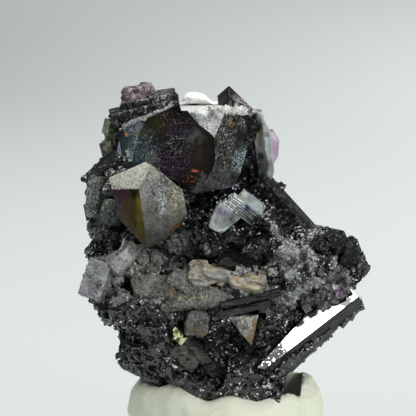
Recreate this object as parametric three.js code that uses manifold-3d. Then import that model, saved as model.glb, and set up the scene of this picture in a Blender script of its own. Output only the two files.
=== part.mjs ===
// A phantom fluorite specimen: fluorite cubes grown on a black ferberite matrix, pressed
// into a lump of mounting putty. Millimetres, +Z up, front towards -Y, and the origin is
// the centre of the putty's flat underside.
import * as THREE from "three";
import { ConvexGeometry } from "three/addons/geometries/ConvexGeometry.js";
import { mergeVertices } from "three/addons/utils/BufferGeometryUtils.js";
import Module from "manifold-3d";

const wasm = await Module();
wasm.setup();

// Driving dimensions
const SEAT_GAP = 0.3; // room between a crystal and the pocket that it sits in
const FOOT_Z = 8; // lowest point of the stone, inside the putty
const LEDGE_Z = 30; // height of the stone's grey front ledge
const SHOULDER_Z = 43; // middle of the upper stone, behind the fluorite
const CLUSTER_Z = 52; // middle of the large fluorite
const CROWN_Z = 59.5; // height of the black blades at the top
const FRONT_Y = -15; // front of the ledge
const PUTTY_RADIUS = 17.6;
const PUTTY_RIM_Z = 11.4;
const PUTTY_DEPTH_SHARE = 0.92; // the lump is a little narrower from front to back

// Finishes
const BLACK_STONE = { color: 0x24272a, roughness: 0.55, metalness: 0.25 };
const PURPLE_FLUORITE = { color: 0x54465c, roughness: 0.2, metalness: 0 };
const OLIVE_FLUORITE = { color: 0x8f8f74, roughness: 0.3, metalness: 0 };
const CLEAR_FLUORITE = { color: 0xb4c2c2, roughness: 0.12, metalness: 0 };
const PINK_FLUORITE = { color: 0xa486a8, roughness: 0.15, metalness: 0 };
const GREY_FLUORITE = { color: 0x8a8890, roughness: 0.4, metalness: 0 };
const WHITE_CALCITE = { color: 0xeeece4, roughness: 0.5, metalness: 0 };
const OCHRE_MICA = { color: 0x9a9070, roughness: 0.45, metalness: 0 };
const BRASSY_PYRITE = { color: 0xb0a860, roughness: 0.2, metalness: 0.9 };
const PALE_PUTTY = { color: 0xd2d4c0, roughness: 0.75, metalness: 0 };

// A repeatable stream of numbers from 0 to 1
function stream(seed) {
  let state = seed;
  return () => {
    state = (state + 0x6d2b79f5) | 0;
    let mixed = Math.imul(state ^ (state >>> 15), 1 | state);
    mixed = (mixed + Math.imul(mixed ^ (mixed >>> 7), 61 | mixed)) ^ mixed;
    return ((mixed ^ (mixed >>> 14)) >>> 0) / 4294967296;
  };
}

const between = (draw, low, high) => low + (high - low) * draw();

// Roll turns a piece in the plane that faces the front, clockwise. Tilt leans its top
// forwards, and spin turns it about its own upright axis.
function attitude({ roll = 0, tilt = 0, spin = 0 }) {
  const angles = [tilt, roll, spin].map(THREE.MathUtils.degToRad);
  return new THREE.Quaternion().setFromEuler(new THREE.Euler(...angles, "YXZ"));
}

function placement(piece) {
  const whole = new THREE.Vector3(1, 1, 1);
  return new THREE.Matrix4().compose(new THREE.Vector3(...piece.at), attitude(piece), whole);
}

function solidOf(geometry) {
  const bare = new THREE.BufferGeometry();
  bare.setAttribute("position", geometry.getAttribute("position"));
  if (geometry.index) bare.setIndex(geometry.index);
  const merged = mergeVertices(bare, 1e-4);
  return new wasm.Manifold(
    new wasm.Mesh({
      numProp: 3,
      vertProperties: merged.attributes.position.array,
      triVerts: new Uint32Array(merged.index.array),
    }),
  );
}

function geometryOf(solid) {
  const { vertProperties, triVerts } = solid.getMesh();
  const geometry = new THREE.BufferGeometry();
  geometry.setAttribute("position", new THREE.BufferAttribute(vertProperties, 3));
  geometry.setIndex(new THREE.BufferAttribute(triVerts, 1));
  const faceted = geometry.toNonIndexed();
  faceted.computeVertexNormals();
  return faceted;
}

const join = (solids) => solids.reduce((whole, solid) => whole.add(solid));

// What is left of a solid after its cuts, without the slivers that came loose
function cutBy(solid, tools) {
  const left = tools.reduce((whole, tool) => whole.subtract(tool), solid);
  return left.decompose().reduce((most, body) => (body.volume() > most.volume() ? body : most));
}

// The corners that a set of face planes encloses: each plane has an outward normal and
// its distance from the centre.
function enclosedCorners(planes) {
  const corners = [];
  const tolerance = 1e-6;
  planes.forEach((a, i) =>
    planes.slice(i + 1).forEach((b, j) =>
      planes.slice(i + j + 2).forEach((c) => {
        const across = new THREE.Vector3().crossVectors(b.normal, c.normal);
        const determinant = a.normal.dot(across);
        if (Math.abs(determinant) < tolerance) return;
        const point = across
          .multiplyScalar(a.reach)
          .addScaledVector(new THREE.Vector3().crossVectors(c.normal, a.normal), b.reach)
          .addScaledVector(new THREE.Vector3().crossVectors(a.normal, b.normal), c.reach)
          .divideScalar(determinant);
        const inside = planes.every((plane) => plane.normal.dot(point) <= plane.reach + tolerance);
        if (inside) corners.push(point);
      }),
    ),
  );
  return corners;
}

// A crystal block: six faces at half its size from the centre, trimmed by cuts. A cut's
// reach is its distance from the centre, and a margin grows every face for a pocket.
function block(piece, margin = 0) {
  const [width, depth, height] = piece.size;
  const sides = [
    { normal: [1, 0, 0], reach: width / 2 },
    { normal: [-1, 0, 0], reach: width / 2 },
    { normal: [0, 1, 0], reach: depth / 2 },
    { normal: [0, -1, 0], reach: depth / 2 },
    { normal: [0, 0, 1], reach: height / 2 },
    { normal: [0, 0, -1], reach: height / 2 },
  ];
  const planes = [...sides, ...(piece.cuts ?? [])].map((face) => ({
    normal: new THREE.Vector3(...face.normal).normalize(),
    reach: face.reach + margin,
  }));
  return solidOf(new ConvexGeometry(enclosedCorners(planes)).applyMatrix4(placement(piece)));
}

const cluster = (pieces, margin = 0) => join(pieces.map((piece) => block(piece, margin)));

// Cuts that break off each of a block's corners by a random share of its size
function brokenCorners(size, wear, draw) {
  const cuts = [];
  const signs = [-1, 1];
  for (const x of signs)
    for (const y of signs)
      for (const z of signs) {
        const normal = new THREE.Vector3(x * between(draw, 0.5, 1.5), y * between(draw, 0.5, 1.5), z);
        normal.normalize();
        const corner = new THREE.Vector3(x * size[0], y * size[1], z * size[2]).multiplyScalar(0.5);
        const kept = 1 - wear * between(draw, 0.5, 1);
        cuts.push({ normal: normal.toArray(), reach: corner.dot(normal) * kept });
      }
  return cuts;
}

const boulder = (piece, seed, wear = 0.3) => ({
  ...piece,
  cuts: brokenCorners(piece.size, wear, stream(seed)),
});

// Small black blades that stand out of a boulder's surface, as far as "out" lets them
function fringe(host, { count, seed, length, out }) {
  const draw = stream(seed);
  const half = new THREE.Vector3(...host.size).multiplyScalar(0.5);
  const frame = placement(host);
  const blades = [];
  while (blades.length < count) {
    const ray = new THREE.Vector3(between(draw, -1, 1), between(draw, -1, 1), between(draw, -1, 1));
    const toSurface = Math.min(half.x / Math.abs(ray.x), half.y / Math.abs(ray.y), half.z / Math.abs(ray.z));
    const at = ray.multiplyScalar(toSurface * out).applyMatrix4(frame).toArray();
    const long = between(draw, length * 0.5, length);
    blades.push({
      at,
      size: [long, long * between(draw, 0.4, 0.8), long * between(draw, 0.25, 0.5)],
      roll: (host.roll ?? 0) + between(draw, -40, 40),
      tilt: between(draw, -35, 35),
      spin: between(draw, -50, 50),
    });
  }
  return blades;
}

// The fluorite

// The front cube: one broad frosted face, a frosted facet above it and, on the left, a
// cleavage window on the phantom inside. The other cuts are its worn edges.
const FRONT_CUBE = {
  at: [-13.9, FRONT_Y + 4.6, CLUSTER_Z - 6.8],
  size: [15, 10.4, 16],
  roll: -40,
  tilt: -10,
  cuts: [
    { normal: [-0.34, -1, 0.86], reach: 4.5 },
    { normal: [-0.7, -1, 0.43], reach: 4.5 },
    { normal: [0.41, 0.08, 1], reach: 4.8 },
    { normal: [-1, -0.02, 0.41], reach: 5.9 },
    { normal: [-1, 0.22, -0.23], reach: 6.4 },
    { normal: [1, 0.22, 0.19], reach: 3.4 },
    { normal: [1, 0.26, -0.53], reach: 5.4 },
    { normal: [1, -0.55, 1], reach: 6.35 },
  ],
};

// The large crystal is two cubes grown together. The right one has a frosted patch at its
// top, a lower facet, and a shallow shell-shaped break across its front.
const LARGE_CUBES = [
  {
    at: [-5, 0.5, CLUSTER_Z],
    size: [20, 18, 18],
    roll: 4,
    tilt: -6,
    spin: -12,
    cuts: [
      { normal: [0.05, -1, 0.11], reach: 7.8 },
      { normal: [1, -0.52, 0.07], reach: 7.3 },
      { normal: [0.42, -1, 0.49], reach: 8.45 },
      { normal: [1, -0.61, -0.44], reach: 8.2 },
      { normal: [-0.06, -0.12, 1], reach: 7.5 },
      { normal: [1, 0.48, 0.74], reach: 9.6 },
      { normal: [1, 0.64, -0.39], reach: 7.5 },
      { normal: [-0.08, 0.3, -1], reach: 5.3 },
      { normal: [-0.64, -0.24, 1], reach: 9.3 },
      { normal: [-0.52, 0.2, -1], reach: 5 },
      { normal: [-1, -0.47, -0.2], reach: 10 },
    ],
  },
  {
    at: [-15.1, 1, CLUSTER_Z + 0.8],
    size: [15, 15.5, 14],
    roll: -16,
    spin: 10,
    cuts: [
      { normal: [-0.35, -1, 0.28], reach: 6.7 },
      { normal: [-0.23, -0.24, 1], reach: 5.75 },
      { normal: [-0.82, 0.37, 1], reach: 3.7 },
      { normal: [-1, 0.39, 0.06], reach: 2.4 },
      { normal: [-1, 0.43, -0.31], reach: 2.4 },
      { normal: [-0.07, 0.01, 1], reach: 5.1 },
    ],
  },
];
const LARGE_BREAK = { at: [-8.9, -19.2, CLUSTER_Z + 1.2], radius: 14 };

// The small clear crystal grew in steps: thin plates stacked along its length
const CLEAR_END = {
  at: [-0.4, FRONT_Y + 3, 41.3],
  size: [4.6, 6.4, 5.2],
  roll: -39,
  tilt: 12,
  cuts: [{ normal: [-1, 0.1, 0.6], reach: 2.2 }, { normal: [-1, -1, -1], reach: 3.4 }],
};
const CLEAR_STEPS = { at: [1.5, FRONT_Y + 3, 41.8], plates: 6, pitch: 0.85, drop: 0.48 };

function clearPlates({ at, plates, pitch, drop }) {
  const { roll, tilt } = CLEAR_END;
  const along = new THREE.Vector3(1, 0, 0).applyQuaternion(attitude(CLEAR_END));
  const upward = new THREE.Vector3(0, 0, 1).applyQuaternion(attitude(CLEAR_END));
  const stack = [CLEAR_END];
  for (let step = 0; step < plates; step++) {
    const inset = step % 2 ? 0.8 : 0;
    const middle = new THREE.Vector3(...at);
    middle.addScaledVector(along, step * pitch).addScaledVector(upward, 0.7 - step * drop);
    stack.push({
      at: middle.toArray(),
      size: [pitch + 0.2, 7 - inset - 0.2 * step, 5.4 - inset - 0.15 * step],
      roll,
      tilt,
    });
  }
  return stack;
}

// Two crystals at the right rear: a tall clear plate with a lilac cube behind it
const REAR_PLATE = {
  at: [7.1, 6, CLUSTER_Z + 0.3],
  size: [6, 8, 18],
  roll: 6,
  tilt: 4,
  spin: -12,
  cuts: [
    { normal: [0.08, 0.09, 1], reach: 6 },
    { normal: [1, 0.25, 0.54], reach: 1.9 },
    { normal: [1, 0.23, 0.22], reach: 1.3 },
    { normal: [1, 0.19, -0.38], reach: 3.7 },
    { normal: [-1, -0.23, -0.19], reach: 1.7 },
  ],
};
const REAR_PINK = {
  at: [8.4, 10, CLUSTER_Z - 0.6],
  size: [7, 5.4, 8],
  roll: 6,
  spin: 16,
  cuts: [
    { normal: [-0.1, 0.03, 1], reach: 3.3 },
    { normal: [1, -0.29, 0.78], reach: 2 },
    { normal: [1, -0.29, 0.05], reach: 1.4 },
    { normal: [1, -0.29, -0.48], reach: 1.8 },
  ],
};

// Small crystals: on top of the black blades, on the left rim and in the front of the stone
const CROWN_CUBE = {
  at: [-15.9, 8, CROWN_Z + 2],
  size: [5.8, 5, 2.8],
  roll: -9,
  tilt: 6,
  spin: 8,
  cuts: [{ normal: [-1, 0, 1], reach: 2.6 }, { normal: [1, 0, 1], reach: 2.7 }],
};
const SIDE_CUBES = [
  { at: [-20.9, 6, 55.4], size: [2, 3, 2.8], roll: 14, tilt: 10, spin: 24 },
  { at: [-20.8, 6.4, 53.6], size: [1.9, 2.6, 2.4], roll: -8, tilt: 6, spin: -10 },
  { at: [-21.2, 6, 51.8], size: [2.3, 3, 2.8], roll: -14, tilt: 8, spin: -20 },
];
const WEDGE_CUBE = {
  at: [3.8, FRONT_Y + 1.2, 23],
  size: [4.6, 5, 4.2],
  roll: 34,
  tilt: 14,
  spin: 10,
  cuts: [{ normal: [-0.4, -0.3, 1], reach: 1.9 }],
};
const ROUND_CUBE = {
  at: [-5.3, FRONT_Y + 0.8, 22.7],
  size: [4, 4.6, 4.4],
  roll: 10,
  tilt: 10,
  spin: 10,
  cuts: [
    { normal: [1, 0, 1], reach: 2.4 },
    { normal: [-1, 0, 1], reach: 2.4 },
    { normal: [1, 0, -1], reach: 2.5 },
    { normal: [0, -1, 1], reach: 2.6 },
  ],
};

// The pale crust on the left end of the ledge, and the purple-spotted one on the right
const LEFT_CRUST = [
  { at: [-22.9, -8, LEDGE_Z - 0.7], size: [3, 8, 6.2], roll: 20, tilt: 6, spin: 12 },
  { at: [-20.9, -8.4, LEDGE_Z + 0.8], size: [3.8, 7, 4.4], roll: -24, tilt: 10, spin: -10 },
  { at: [-18.9, -9.4, LEDGE_Z + 2.4], size: [3.2, 6, 3.4], roll: -30, tilt: 10, spin: 22 },
  { at: [-16.7, -9.8, LEDGE_Z + 2.9], size: [3.4, 5.6, 4.4], roll: 14, tilt: 8, spin: 8 },
  { at: [-14, -9.8, LEDGE_Z + 2.1], size: [4.4, 5.4, 2.8], roll: -18, tilt: 16, spin: -16 },
];
const RIGHT_CRUST = [
  { at: [14.4, -11.8, LEDGE_Z - 3], size: [4, 4.4, 3.4], roll: -24, tilt: 14, spin: 20 },
  { at: [17.4, -12.2, LEDGE_Z - 2.6], size: [3.8, 4.4, 3.6], roll: -40, tilt: 12, spin: -12 },
  { at: [19.9, -10.8, LEDGE_Z - 0.6], size: [3.4, 4.4, 4], roll: 30, tilt: 10, spin: 18 },
  { at: [17.4, -10, LEDGE_Z + 0.6], size: [4, 5, 3.8], roll: 36, tilt: 16, spin: -12 },
];

// The other minerals
const TOP_CALCITE = [
  { at: [-5.4, 9.2, CROWN_Z + 0.2], size: [4.4, 4.6, 4], roll: 12, tilt: 10, spin: 24 },
  { at: [-2.8, 9.6, CROWN_Z - 0.2], size: [3.4, 4.2, 3.6], roll: -10, tilt: 6, spin: -18 },
  { at: [-7.7, 9.6, CROWN_Z - 0.8], size: [3, 4, 3.2], roll: -20, tilt: 12, spin: 12 },
];
const PYRITE_GRAIN = {
  at: [-7.9, FRONT_Y + 0.4, 20.4],
  size: [3, 3.2, 1.9],
  roll: 38,
  tilt: 16,
  spin: -12,
  cuts: [{ normal: [-1, -0.4, -1], reach: 1.3 }],
};
// Thin flakes of mica that lie on the sloping front of the ledge
const MICA_FLAKES = [
  { at: [-2.2, FRONT_Y + 1, LEDGE_Z + 1.2], size: [8.4, 5, 1.2], roll: 5, tilt: 32, spin: 6 },
  { at: [3.2, FRONT_Y + 0.6, LEDGE_Z + 0.8], size: [8, 4, 1.2], roll: 2, tilt: 32, spin: -10 },
];

// The large ferberite blades that stand out of the stone

// The mirror-bright blade along the lower right edge
const MIRROR_BLADE = {
  at: [15, FRONT_Y + 3, 20.4],
  size: [26, 12, 12],
  roll: -37,
  tilt: 46,
  cuts: [
    { normal: [-0.01, -0.1, 1], reach: 3 },
    { normal: [0.01, -1, 0.32], reach: 2.73 },
    { normal: [-0.22, 1, 0.63], reach: 2.43 },
    { normal: [0.12, 1, 0.68], reach: 2.83 },
    { normal: [1, 0.13, -0.09], reach: 10.26 },
    { normal: [0.2, -0.9, -1], reach: 2.54 },
    { normal: [-1, -0.56, -0.76], reach: 7.14 },
    { normal: [0, 0.97, -1], reach: 2.5 },
  ],
};
const RIGHT_PRISM = {
  at: [9.4, 3.4, 39.7],
  size: [14.5, 8.6, 7.4],
  roll: 48,
  tilt: 4,
  cuts: [{ normal: [0, -1, 1], reach: 5.2 }, { normal: [0, 1, 1], reach: 5 }],
};
const TOP_BLADE = [
  { at: [2.6, 2.4, CROWN_Z - 0.9], size: [8.6, 5.4, 3], roll: 48, tilt: 12, spin: 16 },
  { at: [4, 3.2, CROWN_Z - 4.2], size: [3.2, 5, 7], roll: 8, tilt: 4, spin: -10 },
];
const LEFT_STACK = [
  { at: [-15.6, 6, CROWN_Z - 1.2], size: [10.6, 8, 2.8], roll: -13, tilt: 4, spin: 5 },
  { at: [-14, 7.6, CROWN_Z + 0.8], size: [9.6, 7.6, 2.2], roll: -9, tilt: 6, spin: -4 },
  { at: [-11.6, 6.4, CROWN_Z + 1], size: [5.4, 6.4, 2.6], roll: -8, tilt: 4, spin: 10 },
];

// The matrix: broken boulders of black stone, grown over with small blades

const STONE = {
  core: { at: [-0.6, 1, 20.4], size: [29, 27, 17], roll: 6 },
  left_wing: { at: [-16.4, -2.4, 25], size: [12.6, 18, 6.6], roll: 22 },
  ledge: { at: [-4.6, -5, LEDGE_Z - 2.6], size: [35, 21, 9.4], roll: -7, tilt: 20 },
  right_ledge: { at: [9.4, -5, LEDGE_Z - 0.4], size: [21, 19, 11], roll: -10, tilt: 22 },
  right_knob: { at: [18.8, -4, LEDGE_Z + 2.6], size: [7.4, 12, 8], roll: 24, tilt: 4 },
  right_tip: { at: [21.4, -4.4, LEDGE_Z + 1], size: [6.4, 10, 6.4], roll: 42, tilt: 6 },
  right_flank: { at: [10.6, 0, 19.6], size: [15, 17, 11], roll: -40 },
  left_flank: { at: [-10, -1, 17.8], size: [14.5, 19, 12], roll: 36 },
  left_toe: { at: [-12.2, -1, 14.6], size: [12, 16, 8], roll: 32 },
  foot: { at: [1.6, -3, FOOT_Z + 4], size: [24, 20, 9], roll: 3 },
  back_wall: { at: [-6.3, 9, SHOULDER_Z + 2.6], size: [22.4, 13, 23], roll: -2 },
  left_shoulder: { at: [-21.4, 4, SHOULDER_Z - 1.8], size: [7, 12, 12], roll: -4 },
  left_waist: { at: [-19.4, 4.4, SHOULDER_Z - 8.4], size: [8.4, 14, 10], roll: 8 },
  left_blade: { at: [-22, 4.4, SHOULDER_Z + 5], size: [8.6, 8, 3], roll: -46, tilt: 4 },
  right_shoulder: { at: [3.6, 7, SHOULDER_Z - 2.6], size: [10, 11, 14], roll: 10 },
  under_large: { at: [-6, 0, SHOULDER_Z - 6], size: [26, 13, 10], roll: -6, tilt: 12 },
  behind_front: { at: [-14.2, 0, SHOULDER_Z - 1], size: [15, 12, 17], roll: -6 },
  under_stack: { at: [-15.4, 9, SHOULDER_Z + 11], size: [10.4, 9, 9], roll: -10 },
  under_clear: { at: [2.6, -6.6, SHOULDER_Z - 5.6], size: [13, 9, 8.4], roll: -16, tilt: 14 },
  right_rear: { at: [4, 9.6, 27], size: [24, 15, 20], roll: 12, spin: 12 },
  left_rear: { at: [-12.4, 9.6, 28], size: [17, 14, 18], roll: -10, spin: -14 },
};
// Laths of ferberite that cross the front of the stone
const FRONT_LATHS = [
  { at: [5.4, FRONT_Y + 1.2, 27.4], size: [13.5, 5, 1.4], roll: -12, tilt: 8 },
  { at: [4.4, FRONT_Y + 1.4, 25.7], size: [12, 5, 2], roll: -13, tilt: 12 },
  { at: [-4.2, FRONT_Y + 2.6, 16.8], size: [8.6, 5, 1.8], roll: 54, tilt: 6 },
  { at: [1.5, FRONT_Y + 3.2, 32.6], size: [6.6, 5, 2], roll: 28, tilt: 24 },
  { at: [12.2, FRONT_Y + 4.4, 30.2], size: [2.4, 3.4, 2.4], roll: 10, tilt: 12 },
  { at: [-14.6, FRONT_Y + 3.4, 24.6], size: [11, 6, 1.8], roll: 12, tilt: 14 },
  { at: [-12.4, FRONT_Y + 3.8, 21.4], size: [11, 6, 2], roll: 20, tilt: 10 },
  { at: [-9.4, FRONT_Y + 4, 16.4], size: [9, 6, 2.4], roll: 38, tilt: 8 },
  { at: [8, FRONT_Y + 3.6, 17.6], size: [8, 6, 2.4], roll: -42, tilt: 12 },
  { at: [3.4, FRONT_Y + 3.4, 15.2], size: [6, 6, 3.4], roll: 16, tilt: 8 },
];
// Where small blades stand out of the boulders
const FRINGES = [
  { host: STONE.core, count: 16, seed: 11, length: 5, out: 0.94 },
  { host: STONE.left_wing, count: 8, seed: 12, length: 3.6, out: 0.88 },
  { host: STONE.ledge, count: 14, seed: 13, length: 4.4, out: 0.9 },
  { host: STONE.right_ledge, count: 12, seed: 21, length: 4.4, out: 0.9 },
  { host: STONE.right_knob, count: 8, seed: 14, length: 3.4, out: 0.9 },
  { host: STONE.right_tip, count: 6, seed: 22, length: 3, out: 0.88 },
  { host: STONE.left_flank, count: 8, seed: 15, length: 4, out: 0.88 },
  { host: STONE.left_toe, count: 6, seed: 23, length: 3.4, out: 0.88 },
  { host: STONE.back_wall, count: 8, seed: 16, length: 5, out: 0.88 },
  { host: STONE.left_shoulder, count: 7, seed: 17, length: 3.4, out: 0.9 },
  { host: STONE.right_rear, count: 10, seed: 18, length: 7, out: 0.94 },
  { host: STONE.left_rear, count: 8, seed: 19, length: 6, out: 0.94 },
];
// Jumbled small blades along the ledge, down the lower front and behind the front cube
const JUMBLES = [
  { from: [-17, -15.5, 25], to: [0, -12, 31], count: 20, seed: 61, length: 4.4, roll: -6, tilt: 24 },
  { from: [0, -15, 27], to: [17, -10, 36], count: 22, seed: 62, length: 4.4, roll: -14, tilt: 26 },
  { from: [-12, -14, 12], to: [9, -12.5, 24], count: 24, seed: 63, length: 3.8, roll: 34, tilt: 4 },
  { from: [-8, -10, 34], to: [4, -7, 42], count: 10, seed: 64, length: 4, roll: -20, tilt: 20 },
];

function jumble({ from, to, count, seed, length, roll, tilt }) {
  const draw = stream(seed);
  const blades = [];
  while (blades.length < count) {
    const long = between(draw, length * 0.5, length);
    blades.push({
      at: from.map((low, axis) => between(draw, low, to[axis])),
      size: [long, long * between(draw, 0.5, 0.9), long * between(draw, 0.2, 0.4)],
      roll: roll + between(draw, -28, 28),
      tilt: tilt + between(draw, -18, 18),
      spin: between(draw, -40, 40),
    });
  }
  return blades;
}

function stone() {
  const boulders = Object.values(STONE).map((piece, i) => boulder(piece, 40 + i));
  const grown = FRINGES.flatMap(({ host, ...rule }) => fringe(host, rule));
  const scattered = JUMBLES.flatMap(jumble);
  const blades = [MIRROR_BLADE, RIGHT_PRISM, ...TOP_BLADE, ...LEFT_STACK];
  return cluster([...boulders, ...blades, ...FRONT_LATHS, ...grown, ...scattered]);
}

// The putty: a squat round lump, flat below, with a wavy lip where it was pressed
const PUTTY_RINGS = [
  [0, 0],
  [0.86, 0],
  [0.95, 0.12],
  [1, 0.42],
  [0.97, 0.72],
  [0.88, 0.94],
  [0.72, 1],
  [0.4, 0.92],
  [0, 0.88],
];
const PUTTY_STEPS = 36;

function puttyLump() {
  const profile = PUTTY_RINGS.map(([out, up]) => new THREE.Vector2(out * PUTTY_RADIUS, up * PUTTY_RIM_Z));
  const lump = new THREE.LatheGeometry(profile, PUTTY_STEPS).rotateX(Math.PI / 2);
  const place = lump.getAttribute("position");
  for (let i = 0; i < place.count; i++) {
    const [x, y, z] = [place.getX(i), place.getY(i), place.getZ(i)];
    const round = Math.atan2(y, x);
    const wave = 1 + 0.02 * Math.sin(4 * round + 0.6) + 0.015 * Math.sin(7 * round + 2);
    const lip = 0.86 + 0.14 * Math.cos(2 * round) + 0.02 * Math.sin(5 * round);
    place.setXYZ(i, x * wave, y * wave * PUTTY_DEPTH_SHARE, z * lip);
  }
  return solidOf(lump);
}

// Each crystal keeps its form, and what it grew on has a pocket for it
const pieces = {
  front_fluorite: [[FRONT_CUBE], OLIVE_FLUORITE],
  clear_fluorite: [clearPlates(CLEAR_STEPS), CLEAR_FLUORITE],
  large_fluorite: [LARGE_CUBES, PURPLE_FLUORITE],
  rear_fluorite: [[REAR_PLATE, REAR_PINK], CLEAR_FLUORITE],
  crown_fluorite: [[CROWN_CUBE], PINK_FLUORITE],
  side_fluorite: [SIDE_CUBES, OLIVE_FLUORITE],
  left_crust: [LEFT_CRUST, GREY_FLUORITE],
  right_crust: [RIGHT_CRUST, GREY_FLUORITE],
  wedge_fluorite: [[WEDGE_CUBE], GREY_FLUORITE],
  round_fluorite: [[ROUND_CUBE], GREY_FLUORITE],
  pyrite_grain: [[PYRITE_GRAIN], BRASSY_PYRITE],
  mica_flakes: [MICA_FLAKES, OCHRE_MICA],
  top_calcite: [TOP_CALCITE, WHITE_CALCITE],
};

const specimen = new THREE.Group();
specimen.name = "phantom_fluorite";

function addNode(name, solid, finish) {
  const mesh = new THREE.Mesh(geometryOf(solid), new THREE.MeshStandardMaterial(finish));
  mesh.name = name;
  specimen.add(mesh);
}

const pockets = [];
for (const [name, [blocks, finish]] of Object.entries(pieces)) {
  let solid = cluster(blocks);
  if (name === "large_fluorite") {
    const shell = new THREE.IcosahedronGeometry(LARGE_BREAK.radius, 5).translate(...LARGE_BREAK.at);
    solid = solid.subtract(solidOf(shell));
  }
  addNode(name, cutBy(solid, pockets), finish);
  pockets.push(cluster(blocks, SEAT_GAP));
}

const matrix = cutBy(stone(), pockets);
addNode("matrix", matrix, BLACK_STONE);
addNode("putty_base", cutBy(puttyLump(), [matrix]), PALE_PUTTY);

export default specimen;
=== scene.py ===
# %% [markdown]
# # Phantom fluorite on black ferberite
#
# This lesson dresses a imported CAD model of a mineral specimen: fluorite crystals with inner
# colour zones, called phantoms, grown on a jumble of black ferberite blades and pressed into
# a lump of putty. The CAD solids give every piece its place. Here they get the relief, the
# small crystals and the finishes of the real stone.

# %% Load the fixed frame
import itertools
import math
import random

import bmesh
import bpy
import numpy as np
from mathutils import Matrix, Vector, noise as random_field
from mathutils.bvhtree import BVHTree


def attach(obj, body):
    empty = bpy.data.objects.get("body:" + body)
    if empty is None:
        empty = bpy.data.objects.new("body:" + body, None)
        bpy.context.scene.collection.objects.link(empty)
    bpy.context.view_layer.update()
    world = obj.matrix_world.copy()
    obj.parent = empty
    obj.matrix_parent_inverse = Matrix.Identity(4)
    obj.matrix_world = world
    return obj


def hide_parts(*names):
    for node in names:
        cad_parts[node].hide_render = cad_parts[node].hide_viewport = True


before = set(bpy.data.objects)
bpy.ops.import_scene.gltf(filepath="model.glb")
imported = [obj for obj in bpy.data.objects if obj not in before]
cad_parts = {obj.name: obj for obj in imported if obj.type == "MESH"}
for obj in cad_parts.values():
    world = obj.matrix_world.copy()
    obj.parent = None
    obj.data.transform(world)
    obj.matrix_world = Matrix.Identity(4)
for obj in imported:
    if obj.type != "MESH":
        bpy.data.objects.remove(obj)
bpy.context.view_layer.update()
MM = 0.001
print("nodes:", sorted(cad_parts))

# %% [markdown]
# ## The camera
#
# The specimen was seen almost level, from far away, so its edges hardly converge. A long lens
# at six degrees above the horizon gives the same calm view. The frame is square.

# %% Set the camera
VIEW_CENTRE = Vector((-3.15, -4.0, 41.8)) * MM
VIEW_DISTANCE = 600 * MM
VIEW_ELEVATION = math.radians(6)
VIEW_WIDTH = 74.88 * MM

lens = bpy.data.cameras.new("camera")
lens.lens = lens.sensor_width * VIEW_DISTANCE / VIEW_WIDTH
lens.clip_start = 0.05
lens.clip_end = 20
camera = bpy.data.objects.new("camera", lens)
bpy.context.scene.collection.objects.link(camera)
away = Vector((0, -math.cos(VIEW_ELEVATION), math.sin(VIEW_ELEVATION)))
camera.location = VIEW_CENTRE + away * VIEW_DISTANCE
camera.rotation_euler = (-away).to_track_quat("-Z", "Y").to_euler()
bpy.context.scene.camera = camera
print("lens:", round(lens.lens, 1), "mm")

# %% [markdown]
# ## Wiring nodes
#
# Shaders and Geometry Nodes are both graphs, so one small helper adds a node, sets its
# options and fills its inputs with plain values or with links from other nodes. The helpers
# after it are the few sums that most graphs below need.

# %% Helpers for node graphs
def add(tree, kind, inputs=None, **options):
    """A new node, with its options set and its inputs filled by values or links."""
    made = tree.nodes.new(kind)
    for option, value in options.items():
        setattr(made, option, value)
    for key, value in (inputs or {}).items():
        if isinstance(value, bpy.types.NodeSocket):
            tree.links.new(value, made.inputs[key])
        else:
            made.inputs[key].default_value = value
    return made


def maths(tree, operation, *values):
    return add(tree, "ShaderNodeMath", dict(enumerate(values)), operation=operation).outputs[0]


def vectors(tree, operation, *values):
    made = add(tree, "ShaderNodeVectorMath", dict(enumerate(values)), operation=operation)
    return made.outputs["Value" if operation == "DOT_PRODUCT" else "Vector"]


def span(tree, value, low, high, to_low=0.0, to_high=1.0):
    """Maps low..high to to_low..to_high, and holds the ends."""
    sizes = {0: value, 1: low, 2: high, 3: to_low, 4: to_high}
    return add(tree, "ShaderNodeMapRange", sizes).outputs[0]


def noise(tree, place, per_mm, detail=4.0):
    sizes = {"Vector": place, "Scale": per_mm, "Detail": detail}
    return add(tree, "ShaderNodeTexNoise", sizes).outputs[0]


def tint(tree, share, first, second):
    """Mixes two colours; a colour is three numbers or a link."""
    ends = [c if isinstance(c, bpy.types.NodeSocket) else (*c, 1) for c in (first, second)]
    sizes = {0: share, 6: ends[0], 7: ends[1]}
    return add(tree, "ShaderNodeMix", sizes, data_type="RGBA").outputs[2]


def facets(tree, place, per_mm, slope):
    """The height of small tilted planes, one in each Voronoi cell, and the cells."""
    scaled = vectors(tree, "MULTIPLY", place, (per_mm,) * 3)
    cells = add(tree, "ShaderNodeTexVoronoi", {"Vector": scaled, "Scale": 1.0})
    lean = vectors(tree, "SUBTRACT", cells.outputs["Color"], (0.5, 0.5, 0.5))
    offset = vectors(tree, "SUBTRACT", scaled, cells.outputs["Position"])
    rise = vectors(tree, "DOT_PRODUCT", lean, offset)
    return maths(tree, "MULTIPLY", rise, slope / per_mm), cells


def axes_of(tree, vector):
    return add(tree, "ShaderNodeSeparateXYZ", {0: vector}).outputs


def evenly(tree, value):
    """A vector with one value on all three axes."""
    return add(tree, "ShaderNodeCombineXYZ", {0: value, 1: value, 2: value}).outputs[0]


print("node helpers ready")

# %% [markdown]
# ## Floor and light
#
# A pale floor runs far back and fades to a darker grey at the upper left. A glow in its
# material keeps it bright behind the stone, as a sheet of paper with a lamp of its own. The
# main softbox hangs at the upper left, a little in front: its mirror image in the one bright
# blade goes straight to the camera. A softbox overhead whitens what faces up, and a wide one
# at the right front keeps the shaded faces readable. Black stone needs dark surroundings, so
# the world is nearly black except where the camera sees it directly.

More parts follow.
